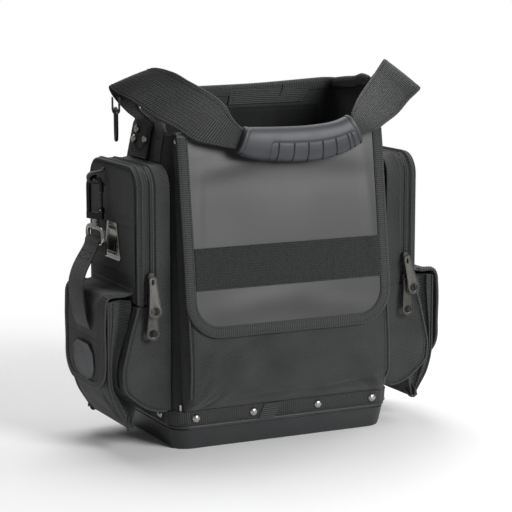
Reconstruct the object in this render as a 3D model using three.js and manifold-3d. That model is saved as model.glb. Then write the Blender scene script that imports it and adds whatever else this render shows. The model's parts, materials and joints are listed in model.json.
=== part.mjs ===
// An open-topped tool tote on a moulded base, with a covered front pocket, a zipped pocket and a
// flapped pocket on each side, and a webbing handle with a moulded grip.
// Millimetres, +Z up. The origin is the middle of the base's underside, and the front faces -Y.

import * as THREE from "three";
import { mergeVertices } from "three/addons/utils/BufferGeometryUtils.js";
import Module from "manifold-3d";

const wasm = await Module();
wasm.setup();

// Overall sizes
const TOTE_WIDTH = 300;
const TOTE_DEPTH = 170;
const RIM_HEIGHT = 432;
const GAP = 0.3;

// Walls and webbing
const FABRIC = 2;
const STRAP_THICKNESS = 3.4;
const STRAP_WIDTH = 50;
const TRIM_THICKNESS = 1.5;
const TRIM_WIDTH = 13;

// Moulded base and the riveted band above it
const BASE_HEIGHT = 30.5;
const BASE_WALL = 3;
const BASE_TAPER = 5.5;
const BASE_LIP = 1;
const BASE_UPSTAND = 17;
const BASE_RADIUS = 24;
const BAND_WIDTH = 19;
const BAND_THICKNESS = 2.2;
const RIVET_RADIUS = 5.4;
const RIVET_HEIGHT = 3.4;

// Front pocket and its cover
const POCKET_WIDTH = 278;
const POCKET_TOP = 383;
const POCKET_CORNER = 8;
const FLAP_WIDTH = 280;
const FLAP_BOTTOM = 142;
const FLAP_CORNER = 45;
const LOOP_STRIP_LOW = 200;
const LOOP_STRIP_HEIGHT = 50;

// Side pockets
const SIDE_POCKET_FRONT = 74;
const SIDE_POCKET_BACK = 80;
const SIDE_POCKET_TOP = RIM_HEIGHT - 82;
const SIDE_SEAM_HEIGHT = 182;
const SIDE_CORNER = 28;
const GUSSET_DEPTH = 17.7;
const ZIPPER_WIDTH = 16.4;
const ZIPPER_RECESS = 1;
const COIL_WIDTH = 5;
const COIL_HEIGHT = 1.4;
const LID_DEPTH = 9;
const LOWER_BULGE = 20;

// Flapped pockets outside the side pockets
const OUTER_POCKET_HALF = 62;
const OUTER_POCKET_TOP = SIDE_SEAM_HEIGHT + 6;
const OUTER_POCKET_BOTTOM = 28;
const OUTER_POCKET_REACH = 14;
const OUTER_FLAP_HALF = 65;
const OUTER_FLAP_SEAM = SIDE_SEAM_HEIGHT + 14;
const OUTER_FLAP_BOTTOM = 78;
const OUTER_FLAP_CORNER = 35;
const BADGE_HALF_WIDTH = 38;
const BADGE_HALF_HEIGHT = 22.5;
const BADGE_THICKNESS = 3;

// Metal and moulded fittings
const SLIDER_WIDTH = 9;
const SLIDER_LENGTH = 14;
const SLIDER_HEIGHT = 5;
const BAIL_HALF = 1.4;
const BAIL_LOW = -7;
const PULL_LENGTH = 50;
const PULL_WIDTH = 17;
const PULL_THICKNESS = 1.8;
const CLIP_TOP_WIDTH = 30;
const CLIP_BOTTOM_WIDTH = 52;
const CLIP_HEIGHT = 46;
const CLIP_THICKNESS = 1.5;
const RING_ROD = 2.5;
const RING_HALF_WIDTH = 17;
const RING_DROP = 37;
const RING_TAB_WIDTH = 25;
const RING_PLAY = 0.6;
const SNAP_ROD = 3;
const SNAP_HALF_WIDTH = 10.5;
const SNAP_EYE_HALF = 29;
const KEEPER_WIDTH = 8;
const GRIP_HALF_DEPTH = 12;
const GRIP_STRAP_WIDTH = 24;
const FINGER_GROOVE_DEPTH = 1.6;

// Places that follow from the sizes above
const HALF_WIDTH = TOTE_WIDTH / 2;
const HALF_DEPTH = TOTE_DEPTH / 2;
const FABRIC_FOOT = BASE_HEIGHT + GAP;
const BAND_TOP = FABRIC_FOOT + BAND_WIDTH;
const POCKET_FOOT = BAND_TOP + GAP;
const SIDE_WALL_X = HALF_WIDTH + GAP;
const GUSSET_X = SIDE_WALL_X + GUSSET_DEPTH;
const ZIPPER_X = GUSSET_X + GAP;
const LID_X = ZIPPER_X + ZIPPER_WIDTH + GAP;
const LID_FACE_X = LID_X + LID_DEPTH;

// Body sections: share of the height from the foot to the rim, shares of the half width and half
// depth that each wall stands out, and share of the base's corner radius
const BODY_SECTIONS = [
  { up: 0.0, left: 1.0, right: 1.0, front: 1.0, back: 1.0, round: 1.0 },
  { up: 0.05, left: 1.0, right: 1.0, front: 1.0, back: 1.0, round: 0.9 },
  { up: 0.37, left: 1.0, right: 1.0, front: 0.85, back: 0.93, round: 0.6 },
  { up: 0.79, left: 1.0, right: 1.0, front: 0.73, back: 0.86, round: 0.6 },
  { up: 0.835, left: 0.98, right: 1.0, front: 0.706, back: 0.84, round: 0.6 },
  { up: 0.9, left: 0.947, right: 1.0, front: 0.706, back: 0.82, round: 0.6 },
  { up: 0.95, left: 0.867, right: 0.99, front: 0.706, back: 0.81, round: 0.6 },
  { up: 1.0, left: 0.8, right: 0.97, front: 0.706, back: 0.8, round: 0.6 },
  { up: 1.06, left: 0.76, right: 0.96, front: 0.706, back: 0.8, round: 0.6 },
];

// Rows of the body's mesh below its rim's binding, as shares of the height from the foot to the
// rim at each place
const BODY_ROWS = [0, 0.054, 0.2, 0.42, 0.6, 0.76, 0.835, 0.9, 0.947];

// Rim height as a share of the back rim's height, along each side wall from front to back
const SIDE_RIM = [
  { along: 0.0, left: 0.891, right: 0.891 },
  { along: 0.08, left: 0.905, right: 1.03 },
  { along: 0.25, left: 0.928, right: 1.035 },
  { along: 0.45, left: 0.965, right: 1.025 },
  { along: 0.7, left: 0.99, right: 1.02 },
  { along: 1.0, left: 0.997, right: 1.012 },
];
const FRONT_RIM = 0.891;
const BACK_RIM = [
  { along: 0.0, high: 1.012 },
  { along: 0.5, high: 1.0 },
  { along: 1.0, high: 0.997 },
];

// Front pocket's face: share of the height from its foot to its top, share of the half depth
const POCKET_FACE = [
  { up: 0.0, out: 1.035 },
  { up: 0.036, out: 1.19 },
  { up: 0.15, out: 1.235 },
  { up: 0.405, out: 1.14 },
  { up: 0.6, out: 1.047 },
  { up: 1.0, out: 0.84 },
];

// Lower side compartment's outer line: share of the seam's height, and how far it stands out from
// the lid's face, as a share of the bulge. Below the lid's line the shares are negative
const LOWER_LINE = [
  { up: 1.0, out: 0.0 },
  { up: 0.955, out: 0.05 },
  { up: 0.55, out: 1.0 },
  { up: 0.47, out: 0.95 },
  { up: 0.33, out: -0.2 },
];
const LOWER_FOOT_SHARE = 0.4;

// Left part of the handle, from the side wall to the grip. Each row gives the webbing's outer and
// inner edge, as shares of the half width, the half depth and the rim's height
const HANDLE_LEFT = [
  { outX: -1.045, outY: 0.48, outZ: 0.944, inX: -1.04, inY: 0.05, inZ: 0.955 },
  { outX: -1.17, outY: 0.45, outZ: 0.987, inX: -1.06, inY: 0.1, inZ: 1.02 },
  { outX: -1.225, outY: 0.353, outZ: 1.016, inX: -0.94, inY: 0.0, inZ: 1.067 },
  { outX: -1.165, outY: 0.188, outZ: 0.994, inX: -0.82, inY: -0.247, inZ: 1.06 },
  { outX: -1.097, outY: -0.047, outZ: 0.975, inX: -0.731, inY: -0.447, inZ: 1.037 },
  { outX: -1.011, outY: -0.376, outZ: 0.94, inX: -0.671, inY: -0.588, inZ: 1.021 },
  { outX: -0.918, outY: -0.741, outZ: 0.913, inX: -0.591, inY: -0.776, inZ: 0.998 },
  { outX: -0.809, outY: -0.985, outZ: 0.882, inX: -0.53, inY: -0.93, inZ: 0.971 },
  { outX: -0.65, outY: -1.09, outZ: 0.868, inX: -0.495, inY: -1.07, inZ: 0.935 },
];

// Right part of the handle, from the grip to the side wall, in the same columns
const HANDLE_RIGHT = [
  { outX: 0.72, outY: -1.12, outZ: 0.882, inX: 0.585, inY: -1.09, inZ: 0.935 },
  { outX: 0.81, outY: -1.11, outZ: 0.889, inX: 0.645, inY: -1.01, inZ: 0.96 },
  { outX: 0.899, outY: -1.071, outZ: 0.905, inX: 0.724, inY: -0.894, inZ: 0.983 },
  { outX: 1.051, outY: -0.988, outZ: 0.931, inX: 0.853, inY: -0.729, inZ: 1.014 },
  { outX: 1.184, outY: -0.906, outZ: 0.966, inX: 0.99, inY: -0.541, inZ: 1.045 },
  { outX: 1.325, outY: -0.82, outZ: 0.998, inX: 1.136, inY: -0.329, inZ: 1.077 },
  { outX: 1.29, outY: -0.6, outZ: 0.985, inX: 1.17, inY: -0.12, inZ: 1.055 },
  { outX: 1.15, outY: -0.3, outZ: 0.95, inX: 1.11, inY: 0.2, inZ: 0.99 },
];

// The handle's anchors on the side walls: heights as shares of the rim's height
const ANCHOR_BEND = 0.847;
const ANCHOR_HIGH = 0.915;
const ANCHOR_MIDDLE = 0.19;
const ANCHOR_SEAT = 1.4;
const ANCHOR_RIVET_SEATS = { left: 0.95, right: 0.5 };

// Grip: place along it and height of its axis as shares of the half width and the rim's height,
// and half height as a share of the strap's width
const GRIP_SECTIONS = [
  { along: -0.447, high: 0.881, half: 0.33 },
  { along: -0.38, high: 0.872, half: 0.37 },
  { along: -0.27, high: 0.866, half: 0.4 },
  { along: 0.02, high: 0.859, half: 0.44 },
  { along: 0.24, high: 0.86, half: 0.448 },
  { along: 0.42, high: 0.869, half: 0.43 },
  { along: 0.53, high: 0.881, half: 0.42 },
  { along: 0.607, high: 0.896, half: 0.41 },
];
const GRIP_DEPTH_SHARE = 1.118;
const FINGER_GROOVES = [-0.13, 0.01, 0.14, 0.27, 0.39, 0.5];

// Strap that hangs from the snap hook. Each row gives the middle of the webbing: its reach from
// the lid's face and drop below the hook's eye as shares of its fall, and its place in depth
const HANG_FALL = 96;
const HANG_ROUTE = [
  { out: 0.45, down: 1.02, side: -0.1 },
  { out: 0.5, down: 0.75, side: -0.04 },
  { out: 0.5, down: 0.5, side: 0.06 },
  { out: 0.33, down: 0.22, side: 0.22 },
  { out: 0.2, down: 0.05, side: 0.31 },
];

// Rivets through the handle's anchors: height and depth as shares of the rim and the half depth
const HANDLE_RIVETS = [
  { high: 0.893, side: 0.33 },
  { high: 0.864, side: 0.38 },
  { high: 0.868, side: -0.02 },
];
const BAND_RIVETS = [-0.82, -0.3, 0.3, 0.82];
const BAND_SIDE_RIVETS = [-0.55, 0.55];

function paint(colour, roughness, metalness) {
  return new THREE.MeshStandardMaterial({ color: colour, roughness, metalness });
}

const FINISH = {
  nylon: paint("#303233", 0.9, 0),
  coated: paint("#575957", 0.6, 0),
  webbing: paint("#3a3c3c", 0.85, 0),
  polymer: paint("#3c3e40", 0.5, 0),
  rubber: paint("#4c4e52", 0.6, 0),
  badge: paint("#2c3238", 0.6, 0),
  nickel: paint("#b8b8b4", 0.3, 1),
  steel: paint("#c8c8c4", 0.25, 1),
  blackMetal: paint("#1c1c1e", 0.35, 0.8),
};

const tote = new THREE.Group();

function addPart(name, geometry, material) {
  const mesh = new THREE.Mesh(geometry, material);
  mesh.name = name;
  tote.add(mesh);
  return mesh;
}

// Straight-line reading of one column of a table
function read(table, placeKey, valueKey, place) {
  const found = table.findIndex((row, i) => i > 0 && place <= row[placeKey]);
  const next = found < 0 ? table.length - 1 : found;
  const a = table[next - 1];
  const b = table[next];
  const t = (place - a[placeKey]) / (b[placeKey] - a[placeKey]);
  return a[valueKey] + (b[valueKey] - a[valueKey]) * t;
}

function spread(from, to, count) {
  return Array.from({ length: count }, (_, i) => from + ((to - from) * i) / (count - 1));
}

// A closed geometry from points and triangles, turned so that its faces point out
function closedGeometry(points, triangles) {
  let volume = 0;
  for (const [a, b, c] of triangles) {
    const [p, q, r] = [points[a], points[b], points[c]];
    volume += p[0] * (q[1] * r[2] - q[2] * r[1]);
    volume += p[1] * (q[2] * r[0] - q[0] * r[2]);
    volume += p[2] * (q[0] * r[1] - q[1] * r[0]);
  }
  const order = volume < 0 ? triangles.map(([a, b, c]) => [a, c, b]) : triangles;
  const geometry = new THREE.BufferGeometry();
  geometry.setAttribute("position", new THREE.BufferAttribute(new Float32Array(points.flat()), 3));
  geometry.setIndex(order.flat());
  return geometry;
}

function ringMiddle(ring) {
  const sum = ring.reduce((a, p) => [a[0] + p[0], a[1] + p[1], a[2] + p[2]], [0, 0, 0]);
  return sum.map((value) => value / ring.length);
}

// Ears cut from an outline that isn't convex, wound as the outline is
function capTriangles(outline) {
  const flat = outline.map(([a, b]) => new THREE.Vector2(a, b));
  const turn = Math.sign(THREE.ShapeUtils.area(flat));
  return THREE.ShapeUtils.triangulateShape(flat, []).map(([a, b, c]) => {
    const face = Math.sign(THREE.ShapeUtils.area([flat[a], flat[b], flat[c]]));
    return face === turn ? [a, b, c] : [a, c, b];
  });
}

// A skin over rings with equal counts of points, closed on itself or capped at both ends
function skin(rings, { loop = false, outline = null } = {}) {
  const count = rings[0].length;
  const points = rings.flat();
  const triangles = [];
  const spans = loop ? rings.length : rings.length - 1;
  for (let i = 0; i < spans; i += 1) {
    const here = i * count;
    const next = ((i + 1) % rings.length) * count;
    for (let j = 0; j < count; j += 1) {
      const k = (j + 1) % count;
      triangles.push([here + j, here + k, next + k], [here + j, next + k, next + j]);
    }
  }
  if (!loop) {
    const end = (rings.length - 1) * count;
    if (outline) {
      for (const [a, b, c] of capTriangles(outline)) {
        triangles.push([a, c, b], [end + a, end + b, end + c]);
      }
    } else {
      points.push(ringMiddle(rings[0]), ringMiddle(rings[rings.length - 1]));
      const low = points.length - 2;
      for (let j = 0; j < count; j += 1) {
        const k = (j + 1) % count;
        triangles.push([low, k, j], [low + 1, end + j, end + k]);
      }
    }
  }
  return closedGeometry(points, triangles);
}

function toSolid(geometry) {
  const bare = geometry.clone();
  bare.deleteAttribute("normal");
  bare.deleteAttribute("uv");
  const merged = mergeVertices(bare, 1e-4);
  return new wasm.Manifold(
    new wasm.Mesh({
      numProp: 3,
      vertProperties: new Float32Array(merged.attributes.position.array),
      triVerts: new Uint32Array(merged.index.array),
    }),
  );
}

function fromSolid(solid) {
  const mesh = solid.getMesh();
  const geometry = new THREE.BufferGeometry();
  geometry.setAttribute("position", new THREE.BufferAttribute(mesh.vertProperties, 3));
  geometry.setIndex(Array.from(mesh.triVerts));
  return geometry;
}

function mirrored(geometry, sign) {
  const source = geometry.index ? geometry : mergeVertices(geometry, 1e-4);
  const position = source.attributes.position;
  const points = Array.from({ length: position.count }, (_, i) => [
    position.getX(i) * sign,
    position.getY(i),
    position.getZ(i),
  ]);
  const index = Array.from(source.index.array);
  const triangles = [];
  for (let i = 0; i < index.length; i += 3) {
    triangles.push([index[i], index[i + 1], index[i + 2]]);
  }
  return closedGeometry(points, triangles);
}

// Vector helpers on plain triples
function minus(a, b) {
  return [a[0] - b[0], a[1] - b[1], a[2] - b[2]];
}

function along(a, b, t) {
  return [a[0] + b[0] * t, a[1] + b[1] * t, a[2] + b[2] * t];
}

function cross(a, b) {
  return [a[1] * b[2] - a[2] * b[1], a[2] * b[0] - a[0] * b[2], a[0] * b[1] - a[1] * b[0]];
}

function unit(a) {
  const length = Math.hypot(...a);
  return a.map((value) => value / length);
}

// A band of webbing or cloth between two edges, one row for each pair of edge points
function ribbon(rows, thickness) {
  const rings = rows.map(([left, right], i) => {
    const before = rows[Math.max(i - 1, 0)];
    const after = rows[Math.min(i + 1, rows.length - 1)];
    const way = unit(minus(ringMiddle(after), ringMiddle(before)));
    const across = unit(minus(right, left));
    const normal = unit(cross(across, way));
    const half = thickness / 2;
    return [along(left, normal, half), along(right, normal, half),
      along(right, normal, -half), along(left, normal, -half)];
  });
  return skin(rings);
}

// More rows between the given ones, on a smooth curve through them
function smoothRows(rows, count) {
  const curves = [0, 1].map(
    (side) => new THREE.CatmullRomCurve3(rows.map((row) => new THREE.Vector3(...row[side]))),
  );
  return spread(0, 1, count).map((t) => curves.map((curve) => curve.getPoint(t).toArray()));
}

// A round rod along points in one plane
function rod(points, radius, planeNormal, { loop = false, sides = 8 } = {}) {
  const last = points.length - 1;
  const rings = points.map((point, i) => {
    const before = loop ? points[(i + last) % points.length] : points[Math.max(i - 1, 0)];
    const after = loop ? points[(i + 1) % points.length] : points[Math.min(i + 1, last)];
    const way = unit(minus(after, before));
    const inPlane = unit(cross(planeNormal, way));
    return Array.from({ length: sides }, (_, j) => {
      const angle = (2 * Math.PI * j) / sides;
      const sideways = along(point, inPlane, radius * Math.cos(angle));
      return along(sideways, planeNormal, radius * Math.sin(angle));
    });
  });
  return skin(rings, { loop });
}

function arc(centre, radius, from, to, steps) {
  return spread(from, to, steps + 1).map((angle) => [
    centre[0] + radius * Math.cos(angle),
    centre[1] + radius * Math.sin(angle),
  ]);
}

const QUARTER = Math.PI / 2;

// A round hole as a path of straight sides
function roundHole(x, y, radius, sides) {
  const turn = 2 * Math.PI * (1 - 1 / sides);
  return new THREE.Path(arc([x, y], radius, 0, turn, sides - 1).map((p) => new THREE.Vector2(...p)));
}

// Places round the body, counted from the front's left end: straight walls and rounded corners
const SIDE_PLACES = [0.08, 0.25, 0.45, 0.7];
const BODY_PLACES = [
  ...[0, 0.5, 1].map((share) => ({ wall: "front", share })),
  ...[0.25, 0.5, 0.75].map((share) => ({ wall: "frontRight", share })),
  ...[0, ...SIDE_PLACES, 1].map((share) => ({ wall: "right", share })),
  ...[0.25, 0.5, 0.75].map((share) => ({ wall: "backRight", share })),
  ...[0, 0.33, 0.67, 1].map((share) => ({ wall: "back", share })),
  ...[0.25, 0.5, 0.75].map((share) => ({ wall: "backLeft", share })),
  ...[1, ...SIDE_PLACES.toReversed(), 0].map((share) => ({ wall: "left", share })),
  ...[0.25, 0.5, 0.75].map((share) => ({ wall: "frontLeft", share })),
];

function bodySection(z, inset = 0) {
  const up = (z - FABRIC_FOOT) / (RIM_HEIGHT - FABRIC_FOOT);
  const column = (key, size) => size * read(BODY_SECTIONS, "up", key, up) - inset;
  return {
    left: column("left", HALF_WIDTH),
    right: column("right", HALF_WIDTH),
    front: column("front", HALF_DEPTH),
    back: column("back", HALF_DEPTH),
    round: Math.max(column("round", BASE_RADIUS), 1),
  };
}

function bodyPoint(place, z, inset = 0) {
  const s = bodySection(z, inset);
  const corner = (x, y, start) => {
    const angle = start + place.share * QUARTER;
    return [x + s.round * Math.cos(angle), y + s.round * Math.sin(angle), z];
  };
  const mix = (a, b) => a + (b - a) * place.share;
  const sideY = mix(-s.front + s.round, s.back - s.round);
  switch (place.wall) {
    case "front":
      return [mix(-s.left + s.round, s.right - s.round), -s.front, z];
    case "frontRight":
      return corner(s.right - s.round, -s.front + s.round, -QUARTER);
    case "right":
      return [s.right, sideY, z];
    case "backRight":
      return corner(s.right - s.round, s.back - s.round, 0);
    case "back":
      return [mix(s.right - s.round, -s.left + s.round), s.back, z];
    case "backLeft":
      return corner(-s.left + s.round, s.back - s.round, QUARTER);
    case "left":
      return [-s.left, sideY, z];
    default:
      return corner(-s.left + s.round, -s.front + s.round, 2 * QUARTER);
  }
}

function rimHeight(place) {
  switch (place.wall) {
    case "right":
      return RIM_HEIGHT * read(SIDE_RIM, "along", "right", place.share);
    case "left":
      return RIM_HEIGHT * read(SIDE_RIM, "along", "left", place.share);
    case "back":
      return RIM_HEIGHT * read(BACK_RIM, "along", "high", place.share);
    case "backRight":
      return RIM_HEIGHT * BACK_RIM[0].high;
    case "backLeft":
      return RIM_HEIGHT * BACK_RIM[BACK_RIM.length - 1].high;
    default:
      return RIM_HEIGHT * FRONT_RIM;
  }
}

function pocketFace(z) {
  const up = (z - POCKET_FOOT) / (POCKET_TOP - POCKET_FOOT);
  return -HALF_DEPTH * read(POCKET_FACE, "up", "out", up);
}

function roundedRing(halfX, halfY, radius, z) {
  const corners = [
    [halfX - radius, -halfY + radius, -QUARTER],
    [halfX - radius, halfY - radius, 0],
    [-halfX + radius, halfY - radius, QUARTER],
    [-halfX + radius, -halfY + radius, 2 * QUARTER],
  ];
  return corners.flatMap(([x, y, from]) =>
    arc([x, y], radius, from, from + QUARTER, 5).map(([a, b]) => [a, b, z]),
  );
}

// Moulded base: a shallow tray with a grooved lip and an upstand inside the fabric
function buildBase() {
  const outside = (inset, z) =>
    roundedRing(HALF_WIDTH + BASE_LIP - inset, HALF_DEPTH + BASE_LIP - inset, BASE_RADIUS, z);
  const behindFabric = BASE_LIP + FABRIC + GAP;
  const lipLine = BASE_HEIGHT - 5;
  const upstandTop = BASE_HEIGHT + BASE_UPSTAND;
  const within = behindFabric + BASE_WALL;
  return skin([
    outside(BASE_TAPER + 2, 0),
    outside(BASE_TAPER, 2),
    outside(1, lipLine),
    outside(2, lipLine + 0.4),
    outside(2, lipLine + 1.2),
    outside(0, lipLine + 1.6),
    outside(0, BASE_HEIGHT),
    outside(behindFabric, BASE_HEIGHT),
    outside(behindFabric, upstandTop),
    outside(within, upstandTop),
    outside(within, BASE_HEIGHT),
    outside(BASE_TAPER + BASE_WALL + 2, BASE_WALL),
  ]);
}

function bodyRows(inset) {
  const heights = [
    ...BODY_ROWS.map((share) => (rim) => FABRIC_FOOT + (rim - FABRIC_FOOT) * share),
    (rim) => rim - TRIM_WIDTH,
    (rim) => rim,
  ];
  return heights.map((height) =>
    BODY_PLACES.map((place) => bodyPoint(place, height(rimHeight(place)), inset)));
}

function buildShell() {
  return skin([...bodyRows(0), ...bodyRows(FABRIC).toReversed()], { loop: true });
}

function buildBand() {
  const rings = BODY_PLACES.map((place) => [
    bodyPoint(place, FABRIC_FOOT, -GAP),
    bodyPoint(place, FABRIC_FOOT, -GAP - BAND_THICKNESS),
    bodyPoint(place, BAND_TOP, -GAP - BAND_THICKNESS),
    bodyPoint(place, BAND_TOP, -GAP),
  ]);
  return skin(rings, { loop: true });
}

// Folded binding over the rim of the sides and the back
function buildRimBinding() {
  const first = BODY_PLACES.findIndex((place) => place.wall === "right" && place.share > 0);
  const last = BODY_PLACES.findLastIndex((place) => place.wall === "left" && place.share > 0);
  const rings = BODY_PLACES.slice(first, last + 1).map((place) => {
    const rim = rimHeight(place);
    const low = rim - TRIM_WIDTH;
    const over = rim + GAP;
    const top = over + TRIM_THICKNESS;
    const inside = FABRIC + GAP;
    return [
      bodyPoint(place, low, -GAP),
      bodyPoint(place, over, -GAP),
      bodyPoint(place, over, inside),
      bodyPoint(place, low, inside),
      bodyPoint(place, low, inside + TRIM_THICKNESS),
      bodyPoint(place, top, inside + TRIM_THICKNESS),
      bodyPoint(place, top, -GAP - TRIM_THICKNESS),
      bodyPoint(place, low, -GAP - TRIM_THICKNESS),
    ];
  });
  const thick = TRIM_THICKNESS;
  const outline = [
    [thick, 0],
    [thick, TRIM_WIDTH - thick],
    [thick + FABRIC, TRIM_WIDTH - thick],
    [thick + FABRIC, 0],
    [2 * thick + FABRIC, 0],
    [2 * thick + FABRIC, TRIM_WIDTH],
    [0, TRIM_WIDTH],
    [0, 0],
  ];
  return skin(rings, { outline });
}

// Strip of webbing with slanted ends, sewn inside the back wall under the rim
function buildHanger() {
  const low = 0.944 * RIM_HEIGHT;
  const high = 0.986 * RIM_HEIGHT;
  const away = FABRIC + 2 * GAP + 1.5 * TRIM_THICKNESS;
  const row = (z, from, to) => {
    const y = bodySection(z, away).back;
    return [[from * HALF_WIDTH, y, z], [to * HALF_WIDTH, y, z]];
  };
  return ribbon([row(low, -0.05, 0.66), row(high, -0.02, 0.74)], TRIM_THICKNESS);
}

// Pouch that is open at the top and at the back, where the body's front wall closes it
function buildFrontPocket() {
  const half = POCKET_WIDTH / 2;
  const ring = (z, inset, backOut, height = z) => {
    const front = pocketFace(z) + inset;
    const back = -bodySection(z).front - GAP + backOut;
    const round = Math.min(POCKET_CORNER - inset, 0.8 * (back - front));
    const side = half - inset;
    return [
      [side, back, height],
      ...arc([side - round, front + round], round, 0, -QUARTER, 3).map(([x, y]) => [x, y, height]),
      ...arc([-side + round, front + round], round, -QUARTER, -2 * QUARTER, 3)
        .map(([x, y]) => [x, y, height]),
      [-side, back, height],
    ];
  };
  const level = (up) => POCKET_FOOT + (POCKET_TOP - POCKET_FOOT) * up;
  const levels = POCKET_FACE.map((row) => level(row.up));
  const outer = skin(levels.map((z) => ring(z, 0, 0)));
  const inside = [POCKET_FOOT + FABRIC, ...levels.slice(1)];
  const clear = POCKET_TOP + FABRIC;
  const inner = skin([
    ...inside.map((z) => ring(z, FABRIC, FABRIC)),
    ring(POCKET_TOP, FABRIC, FABRIC, clear),
  ]);
  return fromSolid(toSolid(outer).subtract(toSolid(inner)));
}

// Heights and half widths down a cover with rounded lower corners
function coverRows(top, bottom, half, corner, levels, steps) {
  const straight = levels.filter((z) => z < top && z > bottom + corner).sort((a, b) => b - a);
  const rows = [top, ...straight, bottom + corner].map((z) => ({ z, half }));
  for (const angle of spread(0, QUARTER, steps + 1).slice(1)) {
    rows.push({
      z: bottom + corner * (1 - Math.sin(angle)),
      half: half - corner * (1 - Math.cos(angle)),
    });
  }
  return rows;
}

function faceLevels() {
  return POCKET_FACE.map((row) => POCKET_FOOT + (POCKET_TOP - POCKET_FOOT) * row.up);
}

const FLAP_FACE_OUT = GAP + FABRIC + GAP;

// Cover of the front pocket, sewn to the front rim and hanging over the pocket's face
function buildFrontFlap() {
  const half = FLAP_WIDTH / 2;
  const middle = GAP + FABRIC / 2;
  const frontRim = RIM_HEIGHT * FRONT_RIM;
  const wall = bodySection(frontRim).front;
  const over = [
    [-wall + FABRIC, frontRim + GAP + 1.2],
    [-wall - 5, frontRim + GAP + 2.4],
    [pocketFace(POCKET_TOP) + 2, frontRim + GAP + 1.8],
    [pocketFace(POCKET_TOP) - 1.2, frontRim - 1.5],
  ];
  const rows = over.map(([y, z]) => [[-half, y, z], [half, y, z]]);
  const top = POCKET_TOP - 7;
  for (const row of coverRows(top, FLAP_BOTTOM, half, FLAP_CORNER, faceLevels(), 5)) {
    const y = pocketFace(row.z) - middle;
    const side = Math.max(row.half, half - FLAP_CORNER + 1);
    rows.push([[-side, y, row.z], [side, y, row.z]]);
  }
  return ribbon(rows, FABRIC);
}

// Webbing sewn round the cover's two sides and its lower edge
function buildFlapBinding() {
  const half = FLAP_WIDTH / 2;
  const top = POCKET_TOP - 9;
  const place = (side, z, inward) => {
    const y = pocketFace(z) - FLAP_FACE_OUT;
    return { side, z, inward, y };
  };
  const left = [];
  const straight = [top, ...faceLevels().filter((z) => z < top && z > FLAP_BOTTOM + FLAP_CORNER)
    .sort((a, b) => b - a)];
  for (const z of straight) {
    left.push(place(-half, z, [1, 0]));
  }
  for (const angle of spread(0, QUARTER, 7)) {
    const across = -half + FLAP_CORNER * (1 - Math.cos(angle));
    const z = FLAP_BOTTOM + FLAP_CORNER * (1 - Math.sin(angle));
    left.push(place(across, z, [Math.cos(angle), Math.sin(angle)]));
  }
  const right = left.toReversed().map((p) => ({
    ...p,
    side: -p.side,
    inward: [-p.inward[0], p.inward[1]],
  }));
  const rings = [...left, ...right].map(({ side, z, inward, y }) => {
    const innerX = side + inward[0] * TRIM_WIDTH;
    const innerZ = z + inward[1] * TRIM_WIDTH;
    const innerY = pocketFace(innerZ) - FLAP_FACE_OUT;
    return [
      [side, y - TRIM_THICKNESS, z],
      [side, y, z],
      [innerX, innerY, innerZ],
      [innerX, innerY - TRIM_THICKNESS, innerZ],
    ];
  });
  return skin(rings);
}

function buildLoopStrip() {
  const half = FLAP_WIDTH / 2 - TRIM_WIDTH - GAP;
  const out = FLAP_FACE_OUT + GAP + TRIM_THICKNESS / 2;
  const levels = [LOOP_STRIP_LOW, LOOP_STRIP_LOW + LOOP_STRIP_HEIGHT];
  const inner = faceLevels().filter((z) => z > levels[0] && z < levels[1]);
  const rows = [levels[0], ...inner, levels[1]].map((z) => {
    const y = pocketFace(z) - out;
    return [[-half, y, z], [half, y, z]];
  });
  return ribbon(rows, TRIM_THICKNESS);
}

// Outline of the upper side pocket in depth and height, with rounded top corners
function sideOutline(inset, bottom) {
  const front = -SIDE_POCKET_FRONT + inset;
  const back = SIDE_POCKET_BACK - inset;
  const top = SIDE_POCKET_TOP - inset;
  const radius = SIDE_CORNER - inset;
  return [
    [front, bottom],
    ...arc([front + radius, top - radius], radius, 2 * QUARTER, QUARTER, 5),
    ...arc([back - radius, top - radius], radius, QUARTER, 0, 5),
    [back, bottom],
  ];
}

function atX(outline, x) {
  return outline.map(([y, z]) => [x, y, z]);
}

// Corners of the lower side compartment, seen from the front, from the top inside edge round
function lowerCorners(inset) {
  const foot = POCKET_FOOT + inset;
  const line = LOWER_LINE.map((row) => [
    LID_FACE_X + LOWER_BULGE * row.out - inset,
    row.up === 1 ? SIDE_SEAM_HEIGHT - inset : SIDE_SEAM_HEIGHT * row.up,
  ]);
  const footX = SIDE_WALL_X + (LID_FACE_X - SIDE_WALL_X) * LOWER_FOOT_SHARE;
  return [...line, [footX, foot]];
}

// A straight prism over an outline seen from the front, which may have hollows
function prismAlongY(corners, from, to) {
  const rings = [from, to].map((y) => corners.map(([x, z]) => [x, y, z]));
  return skin(rings, { outline: corners });
}

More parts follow.
